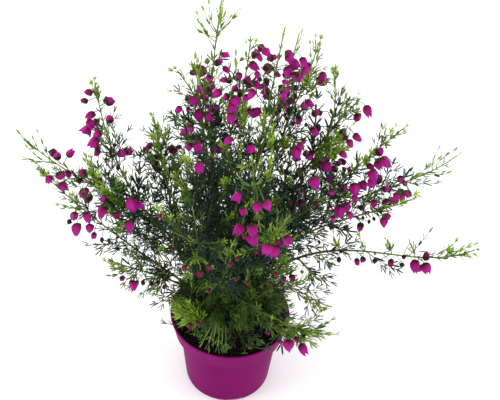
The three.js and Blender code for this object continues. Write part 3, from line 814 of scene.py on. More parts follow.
seenFlowers = {
    # each flower's middle, the hour on a clock face that its mouth points to, and its size in centimetres
    "open": [
        (226, 55, 3, 0.8), (227, 70, 4, 0.8), (223, 80, 9, 0.75), (217, 94, 8, 0.9), (194, 102, 4, 1),
        (199, 116, 5, 1), (236, 101, 4, 1), (232, 109, 5, 1.1), (231, 119, 6, 1), (251, 95, 7, 1),
        (260, 58, 5, 0.8), (267, 53, 4, 0.9), (255, 67, 4, 1.1), (258, 76, 5, 0.8), (258, 86, 4, 0.95),
        (290, 59, 4, 0.95), (295, 65, 4, 1), (304, 63, 5, 1), (306, 71, 4, 0.7), (302, 76, 6, 0.6),
        (288, 72, 5, 0.95), (286, 82, 3, 0.65), (310, 104, 4, 0.9), (323, 77, 5, 0.85), (90, 116, 8, 0.95),
        (91, 125, 5, 1), (97, 135, 8, 0.85), (93, 143, 8, 1.15), (71, 153, 1, 0.85), (49, 180, 7, 0.8),
        (64, 187, 4, 0.95), (87, 218, 6, 1.05), (77, 230, 6, 1.15), (90, 229, 6, 0.85), (102, 213, 7, 1.2),
        (133, 205, 5, 1.3), (140, 206, 4, 0.95), (130, 227, 6, 1.1), (133, 286, 6, 0.95), (198, 148, 5, 1.1),
        (200, 168, 5, 1.05), (228, 141, 8, 0.9), (257, 208, 6, 1.1), (267, 206, 5, 1.05),
        (243, 212, 6, 0.95), (238, 230, 7, 1.25), (252, 231, 6, 1.2), (254, 240, 5, 1.3), (267, 250, 7, 1.2),
        (274, 252, 6, 1.25), (288, 241, 5, 1.05), (368, 112, 5, 1.15), (358, 138, 4, 0.95),
        (350, 144, 5, 0.8), (344, 155, 4, 0.85), (315, 132, 4, 0.95), (301, 147, 5, 0.85),
        (296, 154, 6, 1.2), (327, 168, 5, 1.05), (386, 163, 4, 1.2), (379, 166, 5, 1), (374, 176, 5, 1.15),
        (372, 184, 6, 1), (364, 186, 5, 0.95), (355, 190, 6, 1.2), (355, 199, 6, 0.8), (315, 184, 5, 1.15),
        (340, 212, 6, 1.2), (347, 207, 5, 0.8), (350, 216, 5, 0.75), (397, 197, 6, 0.8), (393, 201, 7, 0.7),
        (384, 223, 6, 0.85), (415, 267, 6, 1.2), (426, 269, 5, 1.05), (289, 346, 6, 1.15),
        (304, 350, 5, 1.15),
    ],
    "wide": [(87, 130, 7, 1.2), (251, 148, 6, 1.1), (238, 196, 7, 1.15)],
    "half": [
        (219, 62, 2, 1), (208, 78, 8, 0.7), (226, 97, 8, 0.8), (189, 98, 2, 0.8), (178, 110, 8, 0.9),
        (188, 110, 6, 0.6), (202, 96, 1, 0.6), (206, 98, 2, 0.55), (209, 108, 5, 0.6), (217, 108, 5, 0.7),
        (237, 123, 5, 0.6), (235, 88, 12, 0.75), (239, 76, 6, 0.7), (247, 80, 1, 0.9), (246, 98, 7, 0.8),
        (250, 112, 6, 0.7), (255, 111, 4, 0.65), (256, 53, 12, 0.85), (274, 57, 2, 0.7), (278, 75, 4, 0.7),
        (289, 53, 2, 0.85), (283, 93, 4, 0.65), (288, 90, 6, 0.6), (304, 106, 3, 0.7), (316, 113, 2, 0.9),
        (299, 121, 6, 0.9), (183, 132, 12, 0.75), (191, 129, 6, 0.8), (189, 147, 7, 0.9), (88, 92, 10, 0.9),
        (84, 101, 9, 0.75), (110, 101, 2, 1), (110, 119, 12, 0.9), (97, 153, 7, 0.9), (124, 153, 8, 0.85),
        (57, 156, 12, 0.85), (60, 176, 4, 0.9), (68, 174, 6, 0.8), (82, 172, 9, 0.9), (86, 191, 6, 0.65),
        (104, 199, 11, 0.85), (75, 216, 6, 0.85), (94, 236, 6, 0.75), (116, 216, 5, 0.8),
        (148, 147, 9, 0.65), (122, 279, 6, 0.6), (324, 159, 5, 0.5), (320, 164, 8, 0.6), (339, 163, 1, 0.65),
        (349, 169, 12, 0.6), (380, 152, 2, 0.9), (371, 167, 3, 0.85), (345, 188, 3, 0.6), (332, 192, 6, 0.8),
        (333, 219, 6, 0.65), (374, 204, 5, 0.9), (386, 189, 2, 0.8), (387, 217, 3, 0.95),
        (402, 180, 11, 0.6), (405, 184, 5, 0.65), (406, 194, 4, 0.75), (310, 157, 5, 0.7),
        (304, 141, 5, 0.6), (314, 128, 12, 0.5), (357, 262, 6, 0.75), (363, 260, 6, 0.65),
        (391, 263, 6, 0.8), (426, 256, 12, 0.9), (297, 340, 5, 0.7), (280, 342, 4, 0.6),
    ],
    "red": [
        (160, 216, 7, 0.5), (173, 250, 6, 0.5), (185, 268, 6, 0.6), (200, 274, 6, 0.8), (209, 267, 5, 0.65),
        (230, 265, 6, 0.55), (237, 259, 5, 0.5), (245, 237, 6, 0.6), (257, 252, 6, 0.45), (277, 242, 6, 0.6),
        (236, 279, 8, 0.55), (248, 283, 5, 0.5), (209, 291, 6, 0.6), (190, 326, 6, 0.7), (198, 323, 4, 0.5),
        (268, 333, 5, 0.5), (276, 274, 6, 0.5), (284, 279, 6, 0.5), (292, 278, 6, 0.7),
    ],
    "bud": [
        (240, 95, 6, 0.75), (266, 68, 3, 0.9), (260, 80, 6, 0.6), (250, 86, 6, 0.75), (265, 97, 6, 0.75),
        (297, 76, 8, 0.75), (296, 88, 5, 0.85), (279, 106, 6, 0.5), (277, 114, 6, 0.7), (285, 115, 6, 0.6),
        (293, 101, 6, 0.7), (293, 124, 6, 0.7), (306, 125, 6, 0.6), (212, 116, 6, 0.4), (212, 124, 6, 0.6),
        (208, 90, 7, 0.8), (216, 146, 6, 0.6), (243, 136, 6, 0.4), (232, 128, 6, 0.4), (118, 168, 6, 0.75),
        (115, 145, 3, 0.6), (111, 148, 8, 0.5), (112, 157, 6, 0.6), (106, 159, 9, 0.5), (79, 181, 5, 0.9),
        (101, 179, 6, 0.5), (104, 183, 6, 0.3), (88, 200, 6, 0.8), (69, 222, 7, 0.75), (102, 240, 6, 0.7),
        (109, 241, 6, 0.65), (117, 238, 6, 0.5), (118, 249, 5, 0.6), (126, 213, 6, 0.4), (143, 188, 6, 0.6),
        (148, 190, 6, 0.5), (150, 153, 7, 0.45), (155, 162, 6, 0.5), (158, 169, 6, 0.6), (177, 148, 6, 0.55),
        (145, 236, 6, 0.5), (137, 282, 6, 0.5), (143, 283, 6, 0.7), (151, 284, 6, 0.65), (158, 283, 5, 0.65),
        (164, 287, 6, 0.6), (167, 278, 6, 0.6), (197, 295, 6, 0.4), (361, 208, 6, 0.8), (363, 218, 6, 0.55),
        (362, 226, 6, 0.6), (369, 222, 6, 0.6), (374, 219, 5, 0.6), (381, 212, 6, 0.5), (386, 201, 8, 0.8),
        (390, 205, 6, 0.6), (316, 204, 6, 0.9), (304, 203, 6, 0.7), (302, 191, 6, 0.6), (350, 175, 6, 0.6),
        (345, 138, 8, 0.8), (333, 227, 6, 0.7), (346, 228, 6, 0.8), (319, 242, 5, 0.55), (341, 252, 6, 0.5),
        (339, 260, 6, 0.8), (375, 261, 6, 0.75), (404, 257, 6, 0.65), (402, 265, 6, 0.65),
        (304, 336, 5, 0.5), (290, 203, 6, 0.65), (297, 204, 6, 0.65), (303, 169, 6, 0.7),
        (301, 178, 6, 0.65), (275, 179, 6, 0.55), (332, 182, 8, 0.65), (298, 193, 6, 0.65),
        (328, 208, 6, 0.6), (288, 212, 6, 0.55), (309, 196, 6, 0.5),
    ],
    "green": [
        (207, 61, 12, 0.8), (200, 71, 12, 0.8), (213, 69, 12, 0.7), (242, 59, 1, 0.6), (132, 253, 6, 0.5),
        (318, 262, 6, 0.4), (323, 259, 6, 0.35), (375, 254, 6, 0.4), (302, 272, 6, 0.5), (312, 278, 5, 0.45),
        (308, 297, 4, 0.4), (306, 302, 6, 0.5), (314, 307, 6, 0.6), (318, 305, 5, 0.6), (325, 309, 4, 0.5),
        (321, 311, 5, 0.45),
    ],
}


def stemsInOrder():
    return [stems[name] for name, *_ in stemList]


def sampleShoots(carriers):
    # points along the stems and shoots, to find what passes a line of sight
    points, owners = [], []
    for shoot in carriers:
        count = max(2, round(shoot["length"] / (sightPlan["spacing"] * mm)))
        first = sightPlan["stemFrom" if shoot["order"] == 1 else "shootFrom"]
        for i in range(count + 1):
            t = first + (1 - first) * i / count
            points.append(shoot["path"](t))
            owners.append((shoot, t))
    return np.array(points), owners


def carrierFor(pixel, samples, reach):
    # the shoot nearest the camera that passes close by the pixel's line of sight
    points, owners = samples
    line = np.array(sightLine(pixel))
    away = points - np.array(view["position"])
    depth = away @ line
    aside = np.linalg.norm(away - depth[:, None] * line, axis=1)
    near = np.flatnonzero(aside < reach * mm)
    cost = depth[near] + sightPlan["asideWeight"] * aside[near]
    best = near[np.argmin(cost)] if len(near) else int(np.argmin(aside))
    shoot, t = owners[best]
    return shoot, t, depth[best]


def growTowards(samples, foot, tip, fullness, kind, draw):
    # a young shoot from its carrier through the foot's line of sight to the tip's
    look = youngLook
    shoot, t, depth = carrierFor(foot, samples, look["reach"])
    start = shoot["path"](t)
    through = view["position"] + sightLine(foot) * (depth - look["footNearer"] * mm)
    end = view["position"] + sightLine(tip) * (depth + draw.uniform(*look["tipShift"]) * mm)
    while not fits(end):
        end = end.lerp(start, look["drawnBack"])
    side = (end - start).cross(up).normalized()
    least, more = look["leafScale"]
    leafing = [
        (first, last, style, least + more * fullness, firstShade, lastShade)
        for first, last, style, _, firstShade, lastShade in shootPlan["leafing"][kind]
    ]
    name, path = shoot["name"] + "_young", bezierPath(start, through, end)
    return newShoot(name, path, side, *look["radii"], 2, shoot["stem"], look["ages"], leafing)


def growBright(shoots):
    look = youngLook
    draw = random.Random(look["seed"])
    samples = sampleShoots(stemsInOrder() + shoots)
    grown = []
    for kind, group in brightShoots.items():
        for footX, footY, tipX, tipY, fullness in group:
            grown.append(growTowards(samples, (footX, footY), (tipX, tipY), fullness, kind, draw))
    for footX, footY, x, y, radius, count in brightTufts:
        for i in range(count):
            angle = math.radians(360 / count * i + draw.uniform(-look["tuftTurn"], look["tuftTurn"]))
            reach = radius * draw.uniform(*look["tuftReach"])
            tip = (x + reach * math.cos(angle), y - reach * math.sin(angle))
            foot = [middle + draw.uniform(-look["tuftFoot"], look["tuftFoot"]) for middle in (footX, footY)]
            grown.append(growTowards(samples, foot, tip, look["tuftFullness"], "spray", draw))
    return grown


def rodShape(sides, rings):
    # a straight rod of unit radius from z 0 to 1, closed at both ends
    rod = bmesh.new()
    bmesh.ops.create_cone(rod, cap_ends=True, segments=sides, radius1=1, radius2=1, depth=1)
    upright = [edge for edge in rod.edges if abs(edge.verts[0].co.z - edge.verts[1].co.z) > 0.5]
    bmesh.ops.subdivide_edges(rod, edges=upright, cuts=rings - 1, use_grid_fill=True)
    bmesh.ops.translate(rod, verts=rod.verts, vec=(0, 0, 0.5))
    rod.loops.layers.uv.new(bakeMap)
    return toShape(rod, "rod")


rodShapes = {}
rodLook = {"taper": 1.5, "ageing": 1.2, "oldest": 0.01, "youngest": 0.99, "shadeTurn": (0.3, 0.18)}


def addRod(target, shoot, sides, rings, swelling=0.0, column=(0, 1)):
    # bends a rod along a shoot; its place on the map is its age
    if (sides, rings) not in rodShapes:
        rodShapes[sides, rings] = rodShape(sides, rings)
    rod = rodShapes[sides, rings].copy()
    local = np.empty(len(rod.vertices) * 3)
    rod.vertices.foreach_get("co", local)
    local = local.reshape(-1, 3)
    ring = np.rint(local[:, 2] * rings).astype(int)
    centres, acrosses, overs = [], [], []
    for i in range(rings + 1):
        t = i / rings
        _, across, over = frameAt(shoot, t)
        radius = between(shoot["radii"][::-1], (1 - t) ** rodLook["taper"])
        radius *= 1 + swelling * (i % 2)
        centres.append(shoot["path"](t))
        acrosses.append(across * radius)
        overs.append(over * radius)
    bent = np.array(centres)[ring] + np.array(acrosses)[ring] * local[:, :1]
    bent += np.array(overs)[ring] * local[:, 1:2]
    rod.vertices.foreach_set("co", bent.ravel())
    corners = np.empty(len(rod.loops), int)
    rod.loops.foreach_get("vertex_index", corners)
    corner = local[corners]
    age = between(shoot["ages"], corner[:, 2] ** rodLook["ageing"])
    around = 0.5 + rodLook["shadeTurn"][0] * corner[:, 0] + rodLook["shadeTurn"][1] * corner[:, 1]
    shade = column[0] + column[1] * (mapLayout["edge"] + mapLayout["reach"] * around)
    uv = np.column_stack((shade, np.clip(age, rodLook["oldest"], rodLook["youngest"])))
    rod.uv_layers[bakeMap].data.foreach_set("uv", uv.astype(np.float32).ravel())
    target.from_mesh(rod)
    bpy.data.meshes.remove(rod)


stems = growStems()
shoots = growShoots(stems)
shoots += growBright(shoots)
print("stems grown:", len(stems), "with", len(shoots), "side shoots")


def makeStems():
    for name, stem in stems.items():
        part = bmesh.new()
        rings = max(stemSizes["fewestRings"], round(stem["length"] / (stemSizes["ringSpacing"] * mm)))
        sides = stemSizes["trunkSides" if name == "trunk" else "sides"]
        addRod(part, stem, sides, rings, stemSizes["nodeSwelling"])
        for shoot in shoots:
            if shoot["stem"] == name:
                addRod(part, shoot, *shootPlan["rod"])
        node = "trunk" if name == "trunk" else "stem_" + name
        finishPiece(node + "_bark", part, [stemMaterial], [node])


makeStems()
print("stem pieces made")


# Flowers. A bell and its calyx are spun in eight columns: four midribs and four seams between the petals.

flowerSizes = {
    "petals": 4,
    "endFrom": 0.99,
    "seam": 0.2,
    "longer": (0.84, 1.12),
    "wider": (0.84, 1.18),
    "core": 0.5,
    "mapWidth": 6,
    "variants": 4,
    "seed": 17,
    "placingSeed": 5,
    "stalkRadius": 0.36,
    "stalkWidening": 1.2,
    "stalkBend": 4,
    "stalkAges": (0.5, 0.75),
    "stalkRod": (4, 4),
    "readAt": 1.0,
    "creaseAngle": 38,
    "droop": 0.25,
    "uneven": 0.15,
    "rootAbove": 4,
    "toViewer": 3,
    "margin": 7,
    "apart": 6.5,
    "between": 8,
    "shifts": (0, 3, -3, 6, -6, 9, -9, 12, 0),
    "back": 2,
    "hidden": 6,
}
bells = {
    # outlines of (radius, height): a bell runs from its crown over the shoulders to its mouth and back inside
    "open": {"length": 10.6, "lobes": 3, "spread": 0.9,
             "bell": [(0, 0.4), (3, -0.3), (4.7, 1.8), (4.6, 4.8), (3.2, 8), (1.5, 10.6), (1.0, 7), (0, 6)],
             "calyx": [(0, -0.9), (1.5, -0.9), (3.8, 0.4), (3.2, 1.1), (0, 0.6)], "sepals": 1.8},
    "wide": {"length": 9.8, "lobes": 2.2, "spread": 0,
             "bell": [(0, 0), (2.8, 1.8), (4.2, 4.4), (5.2, 7.4), (6, 9.8), (5, 8.4), (2.6, 5), (0, 4)],
             "calyx": [(0, -0.7), (1.5, -0.5), (3.1, 1.6), (2.4, 2), (0, 0.6)], "sepals": 1.6},
    "half": {"length": 9, "lobes": 2, "spread": 0.3,
             "bell": [(0, 0.2), (3.2, 0.4), (4.4, 3), (4.2, 5.6), (2.9, 8), (1.4, 9), (0.8, 6.6), (0, 6)],
             "calyx": [(0, -0.8), (2, -0.6), (3.9, 0.8), (4.6, 2.4), (3.9, 2.8), (0, 1)], "sepals": 3},
    "bud": {"length": 8.4,
            "calyx": [(0, 0), (1.6, 0.6), (3.7, 2.8), (3.5, 5), (1.8, 7.2), (0, 8.4)], "sepals": 0},
}
kindShapes = {"open": "open", "wide": "wide", "half": "half", "red": "half", "bud": "bud", "green": "bud"}
kindShades = {
    # the part of the material's column that each kind draws its colour from
    "open": (0.3, 1.0), "wide": (0.5, 1.0), "half": (0.1, 0.8),
    "red": (0.0, 0.06), "bud": (0.0, 0.36), "green": (0.94, 1),
}
petalColumn, budColumn, stalkColumn = (0.0, 0.5), (0.5, 0.3), (0.8, 0.2)


def weighed(nearness, factors):
    return sum(near * factor for near, factor in zip(nearness, factors))


def addSpun(part, outline, edge, spread, column, material, draw):
    # closed, with its end moved by edge mm and spread where the seams are, and no two petals alike
    petals = flowerSizes["petals"]
    spun = spunShape(outline, 2 * petals)
    top, core = max(height for _, height in outline), flowerSizes["core"] * mm
    longer = [draw.uniform(*flowerSizes["longer"]) for _ in range(petals)]
    wider = [draw.uniform(*flowerSizes["wider"]) for _ in range(petals)]
    for vert in spun.verts:
        angle = math.atan2(vert.co.y, vert.co.x)
        atSeam = abs(math.sin(petals / 2 * angle)) * (vert.co.xy.length > core)
        if vert.co.z > flowerSizes["endFrom"] * top * mm:
            vert.co.z += edge * atSeam * mm
            vert.co.xy *= 1 + spread * atSeam
        nearness = [max(0, math.cos(angle - 2 * math.pi / petals * i)) ** 2 for i in range(petals)]
        vert.co.xy *= (1 - flowerSizes["seam"] * atSeam) * weighed(nearness, wider)
        if vert.co.xy.length > core:
            vert.co.z *= weighed(nearness, longer)
    mapFaces(spun, spun.faces, lambda co: (co.x / (flowerSizes["mapWidth"] * mm), co.z / (top * mm)), column)
    for face in spun.faces:
        face.material_index = material
    shape = toShape(spun, "spun")
    part.from_mesh(shape)
    bpy.data.meshes.remove(shape)


def flowerShape(kind, draw):
    # crown at the origin, mouth up Z; the sepals' points lie in the seams between the petals
    part = bmesh.new()
    flower = bells[kind]
    if "bell" in flower:
        addSpun(part, flower["bell"], -flower["lobes"], flower["spread"], petalColumn, 0, draw)
    addSpun(part, flower["calyx"], flower["sepals"], 0, budColumn, 1, draw)
    return toShape(part, kind)


flowers = []
flowerDraw = random.Random(flowerSizes["placingSeed"])


def hangFlower(kind, shoot, t, crown, axis, size, isSeen=False):
    # a flower on a stalk that bends from its shoot into the flower's own axis
    start = shoot["path"](t)
    bow = crown - axis * min(flowerSizes["stalkBend"] * mm, (crown - start).length * 0.5)
    radius = flowerSizes["stalkRadius"]
    radii, side = (radius, radius * flowerSizes["stalkWidening"]), axis.orthogonal().normalized()
    path, ages = bezierPath(start, bow, crown), flowerSizes["stalkAges"]
    length = bells[kindShapes[kind]]["length"] * mm * size
    flowers.append({
        "kind": kind, "stem": shoot["stem"], "crown": crown, "centre": crown + axis * length * 0.5,
        "axis": axis, "size": size, "shade": flowerDraw.uniform(*kindShades[kind]), "seen": isSeen,
        "stalk": newShoot("stalk", path, side, *radii, 3, shoot["stem"], ages, []),
    })


def isFree(centre):
    nearest = min(((flower["centre"] - centre).length for flower in flowers), default=1)
    return nearest > flowerSizes["between"] * mm and fits(centre, flowerSizes["margin"] * mm)


def placeSeen(kind, pixel, hour, size, samples):
    # on its pixel's line of sight, at the depth of the shoot that its stalk leaves
    uneven = flowerSizes["uneven"]
    jitter = Vector([flowerDraw.uniform(-uneven, uneven) for _ in range(3)])
    axis = (clockHand(hour) - up * flowerSizes["droop"] + jitter).normalized()
    length = bells[kindShapes[kind]]["length"] * size
    angle, back = clockAngle(hour), length / 2 + flowerSizes["rootAbove"]
    root = pixel[0] - back * math.sin(angle), pixel[1] + back * math.cos(angle)
    shoot, t, depth = carrierFor(root, samples, sightPlan["reach"])
    size, length = size * depth / flowerSizes["readAt"], length * depth / flowerSizes["readAt"]
    line, depth = sightLine(pixel), depth - flowerSizes["toViewer"] * mm
    while not fits(view["position"] + line * depth, flowerSizes["margin"] * mm):
        depth += flowerSizes["back"] * mm
    for shift in flowerSizes["shifts"]:
        centre = view["position"] + line * (depth + shift * mm)
        if isFree(centre):
            break
    hangFlower(kind, shoot, t, centre - axis * length / 2 * mm, axis, size, True)


drawnFlowers = {
    # flowers that only other views show: they hang behind the seen ones, on the stems of these azimuths
    "azimuths": (10, 170),
    "stretch": (0.5, 0.95),
    "kinds": ["open", "half", "open", "bud", "half", "bud", "open", "bud"],
    "sizes": (0.7, 1.0),
    "reach": (8, 11),
    "onwards": 2,
    "aside": 0.8,
    "down": 0.7,
    "middle": 5,
    "tries": 60,
    "bare": ["tuft_left", "tuft_front", "tuft_right", "back_low_left", "back_low", "back_low_right"],
}


def treeOf(places):
    tree = kdtree.KDTree(len(places))
    for i, place in enumerate(places):
        tree.insert(place, i)
    tree.balance()
    return tree


def placeDrawn():
    plan = drawnFlowers
    seenAt = treeOf([(*pixelOf(flower["centre"])[:2], 0) for flower in flowers])
    for name, _, _, azimuth, *_ in stemList:
        if name in plan["bare"] or not plan["azimuths"][0] < azimuth < plan["azimuths"][1]:
            continue
        stem, kinds = stems[name], list(plan["kinds"])
        for _ in range(plan["tries"]):
            t, turn = flowerDraw.uniform(*plan["stretch"]), flowerDraw.uniform(0, 360)
            reach, size = flowerDraw.uniform(*plan["reach"]), flowerDraw.uniform(*plan["sizes"])
            tangent, sideways = outwards(stem, t, turn)
            axis = (sideways * plan["aside"] - up * plan["down"]).normalized()
            crown = stem["path"](t) + (sideways * reach + tangent * plan["onwards"]) * mm
            x, y, depth = pixelOf(crown + axis * plan["middle"] * mm)
            _, i, gap = seenAt.find((x, y, 0))
            isCrowded = any((crown - other["crown"]).length < flowerSizes["apart"] * mm for other in flowers)
            isBehind = depth > (flowers[i]["centre"] - view["position"]).length
            isHidden = gap < flowerSizes["hidden"] and isBehind
            if kinds and isHidden and not isCrowded and fits(crown, flowerSizes["margin"] * mm):
                hangFlower(kinds.pop(), stem, t, crown, axis, size)


# The solid model's nine flowers: stem, place along it, turn about it
modelFlowers = {
    "flower_upper_left": ("upper_left", 0.88, 90), "flower_mid_left": ("mid_left", 0.8, 120),
    "flower_drooping_left": ("drooping_left", 0.72, 70), "flower_top_right": ("top_right", 0.82, 0),
    "flower_upper_right": ("upper_right", 0.95, 180), "flower_mid_right": ("mid_right", 0.7, 180),
    "flower_long_right": ("long_right", 0.76, 90), "flower_front_right": ("front_right", 0.85, 90),
    "flower_low_right": ("low_right", 0.62, 90),
}
modelStalk = {"length": 8, "lean": 60, "sag": 4, "nod": 0.6, "size": 0.85}


def placeModelled():
    stalk = modelStalk
    for name, at, turn in modelFlowers.values():
        direction = leaning(*outwards(stems[name], at, turn), math.radians(stalk["lean"]))
        crown = stems[name]["path"](at) + direction * stalk["length"] * mm - up * stalk["sag"] * mm
        bent = (direction * stalk["length"] - up * 2 * stalk["sag"]).normalized()
        axis = bent.lerp(-up, stalk["nod"]).normalized()
        hangFlower("half", stems[name], at, crown, axis, stalk["size"])


def boughOf(stem):
    # the bough that a stem belongs to, by whose name its leaves and flowers are grouped
    parents = {name: parent for name, parent, *_ in stemList}
    while stem != "trunk" and parents[stem] != "trunk":
        stem = parents[stem]
    return stem


def makeFlowers():
    draw = random.Random(flowerSizes["seed"])
    shapes = {kind: [flowerShape(kind, draw) for _ in range(flowerSizes["variants"])] for kind in bells}
    standing = {}
    for node, (stem, *_) in modelFlowers.items():
        standing.setdefault(boughOf(stem), []).append(node)
    for bough in sorted({boughOf(flower["stem"]) for flower in flowers}):
        part = bmesh.new()
        for flower in flowers:
            if boughOf(flower["stem"]) != bough:
                continue
            kind = kindShapes[flower["kind"]]
            facing = Vector([draw.uniform(-1, 1) for _ in range(3)])
            place = placeAlong(flower["crown"], flower["axis"], facing, flower["size"])
            shape = draw.choice(shapes[kind])
            addCopy(part, shape, place, flower["shade"], budColumn if kind == "bud" else petalColumn)
            before = len(part.faces)
            addRod(part, flower["stalk"], *flowerSizes["stalkRod"], 0, stalkColumn)
            part.faces.ensure_lookup_table()
            for face in part.faces[before:]:
                face.material_index = 2
        looks = [petalMaterial, budMaterial, stemMaterial]
        piece = finishPiece("flowers_" + bough, part, looks, standing.get(bough, []))
        piece.data.set_sharp_from_angle(angle=math.radians(flowerSizes["creaseAngle"]))


flowerSamples = sampleShoots(stemsInOrder() + shoots)
for kind, group in seenFlowers.items():
    for x, y, hour, size in group:
        placeSeen(kind, (x, y), hour, size, flowerSamples)
placeDrawn()
placeModelled()
makeFlowers()
print("flowers made:", len(flowers))


# Leaves, in opposite pairs that turn a right angle at each node

leafPlan = {
    "seed": 23,
    "thickness": 0.7,
    "fill": 0.58,
    "rachis": {"share": 0.5, "past": 3, "width": 0.8, "sides": 3},
    "leaflets": {"angle": 36, "width": 0.9, "length": 0.9, "shorter": 0.1, "from": 0.9, "upTo": 0.95},
    "bends": (0.3, 1.6),
    "startTurn": 20,
    "swing": 15,
    "tipLean": 16,
    "leanMore": (-10, 12),
    "sizes": (0.75, 1.15),
    "smallerUp": 0.25,
    "shadeMore": 0.13,
    "bareShare": 0.4,
    "clearOfFlowers": 4.5,
    "clearOfView": 5.5,
    "clearOfYoung": 3.5,
    "youngAt": (0.4, 0.55, 0.7, 0.85, 1),
    "depthPast": 2,
    "middleAt": 0.8,
    "tipAt": 1.6,
    # leaves get lighter between these heights in mm: younger growth, and painted light where more light falls
    # on the top
    "lighterFrom": (280, 400),
    "lighter": 0.12,
    # how much darker the older leaves of the stems inside the bush are: painted shade
    "shadedBy": 0.11,
    "darkest": 0.01,
    "frameUpTo": 0.99,
    "paintedShadeByStem": {
        # painted light and shade: how much lighter or darker than the rest a stem's older leaves are, by
        # where the stem lies in the bush's light
        "front_side": -0.15, "upper_right": -0.16, "right_fork": -0.18, "back_right": -0.18, "tall": 0.14,
        "front_upper": -0.12, "back_left": -0.14, "back_low_left": -0.08, "top_left": 0.2, "far_left": 0.14,
        "upper_left": 0.08,
    },
}
leafStyles = {
    # leaflet length and width, pairs of leaflets, distance between a shoot's nodes, lean away from it, and
    # how many sides a blade has
    "full": {"length": 12, "width": 1.85, "pairs": (0, 1, 1), "apart": 6.5, "lean": 46, "sides": 4},
    "needle": {"length": 9, "width": 1.7, "pairs": (0, 1, 1), "apart": 5, "lean": 44, "sides": 3},
    "sparse": {"length": 11, "width": 1.65, "pairs": (0, 0, 1), "apart": 8, "lean": 40, "sides": 4},
    "tip": {"length": 8.5, "width": 1.9, "pairs": (0, 0, 1), "apart": 4.6, "lean": 30, "sides": 4},
    "erect": {"length": 8.5, "width": 2.0, "pairs": (0, 0, 0), "apart": 7, "lean": 18, "sides": 4},
    "spray": {"length": 9.5, "width": 1.6, "pairs": (0, 0, 1), "apart": 3.4, "lean": 26, "sides": 4},
}
oldStyles = ("full", "sparse")
keptClearStyles = ("full", "needle", "sparse")


def addSpindle(part, length, width, sides, place, bend):
    # a lens-shaped blade from the origin up Z
    blade = bmesh.ops.create_uvsphere(part, u_segments=sides, v_segments=3, radius=1)["verts"]
    faces = list({face for vert in blade for face in vert.link_faces})
    for vert in blade:
        s = (vert.co.z + 1) / 2
        deep = vert.co.y * leafPlan["thickness"] * leafPlan["fill"] - bend * s * s
        vert.co = Vector((vert.co.x * width * leafPlan["fill"], deep, s * length)) * mm
    mapFaces(part, faces, lambda co: (co.x / (width * mm), co.z / (length * mm)), (0, 1))
    bmesh.ops.transform(part, matrix=place, verts=blade)


def leafShape(style, pairs, bend):
    # a divided leaf: pairs of leaflets along a rachis and one at its end
    part = bmesh.new()
    length, width, sides = style["length"], style["width"], style["sides"]
    stalk, leaflet = leafPlan["rachis"], leafPlan["leaflets"]
    rachis = length * stalk["share"] * pairs
    if pairs:
        addSpindle(part, rachis + stalk["past"], stalk["width"], stalk["sides"], Matrix(), 0)
    addSpindle(part, length, width, sides, Matrix.Translation((0, 0, rachis * mm)), bend)
    for pair in range(pairs):
        foot = rachis * (pair + leaflet["from"]) / pairs * leaflet["upTo"]
        for way in (-1, 1):
            turn = Matrix.Rotation(math.radians(leaflet["angle"] * way), 4, "Y")
            place = Matrix.Translation((0, 0, foot * mm)) @ turn
            shorter = leaflet["length"] - leaflet["shorter"] * pair
            addSpindle(part, length * shorter, width * leaflet["width"], sides, place, bend)
    return toShape(part, "leaf")


def shownPlaces():
    # the seen flowers and young shoots in the photo's frame, and how far older leaves keep from each
    shown = []
    for flower in flowers:
        if flower["seen"]:
            shown.append((*pixelOf(flower["centre"]), leafPlan["clearOfView"] * flower["size"]))
    for shoot in shoots:
        if shoot["name"].endswith("young"):
            shown += [(*pixelOf(shoot["path"](t)), leafPlan["clearOfYoung"]) for t in leafPlan["youngAt"]]
    return shown


def withPaintedLight(shade, shoot, foot, styleName):
    # leaves are lighter towards the plant's top, partly younger growth and partly painted light; the older
    # ones get painted light or shade by their stem, darker inside the bush
    low, high = leafPlan["lighterFrom"]
    shade += leafPlan["lighter"] * clamp((foot.z / mm - low) / (high - low))
    if styleName in oldStyles:
        shade += leafPlan["paintedShadeByStem"].get(shoot["stem"], 0)
        shade -= leafPlan["shadedBy"] * (shoot["stem"] in shadedTips)
    return clamp(shade, leafPlan["darkest"])


def leafPlaces(shoot, shapes, draw):
    # the leaves that a shoot would bear: opposite pairs, each pair a right angle on from the last
    plan = leafPlan
    bearing = between((plan["bareShare"], 1), bushiness.get(shoot["name"], 1))
    for first, last, styleName, scale, *shades in shoot["leafing"]:
        style = leafStyles[styleName]
        nodes = max(1, round(shoot["length"] * (last - first) / (style["apart"] * mm)))
        start = draw.choice((0, 90)) + draw.uniform(-plan["startTurn"], plan["startTurn"])
        for i in range(nodes + 1):
            along = i / nodes
            t = between((first, last), along)
            isTip = last == 1 and i == nodes
            for way in (0, 180):
                if shoot["order"] == 1 and draw.random() > bearing:
                    continue
                turn = start + 90 * i + way + draw.uniform(-plan["swing"], plan["swing"])
                lean = (plan["tipLean"] if isTip else style["lean"]) + draw.uniform(*plan["leanMore"])
                shape = draw.choice(draw.choice(shapes[styleName]))
                size = scale * draw.uniform(*plan["sizes"]) * (1 - plan["smallerUp"] * along)
                shade = between(shades, along) + draw.uniform(-plan["shadeMore"], plan["shadeMore"])
                tangent, sideways = outwards(shoot, min(t, plan["frameUpTo"]), turn)
                direction = leaning(tangent, sideways, math.radians(lean))
                foot = shoot["path"](t)
                shade = withPaintedLight(shade, shoot, foot, styleName)
                yield styleName, shape, foot, direction, tangent, size, shade


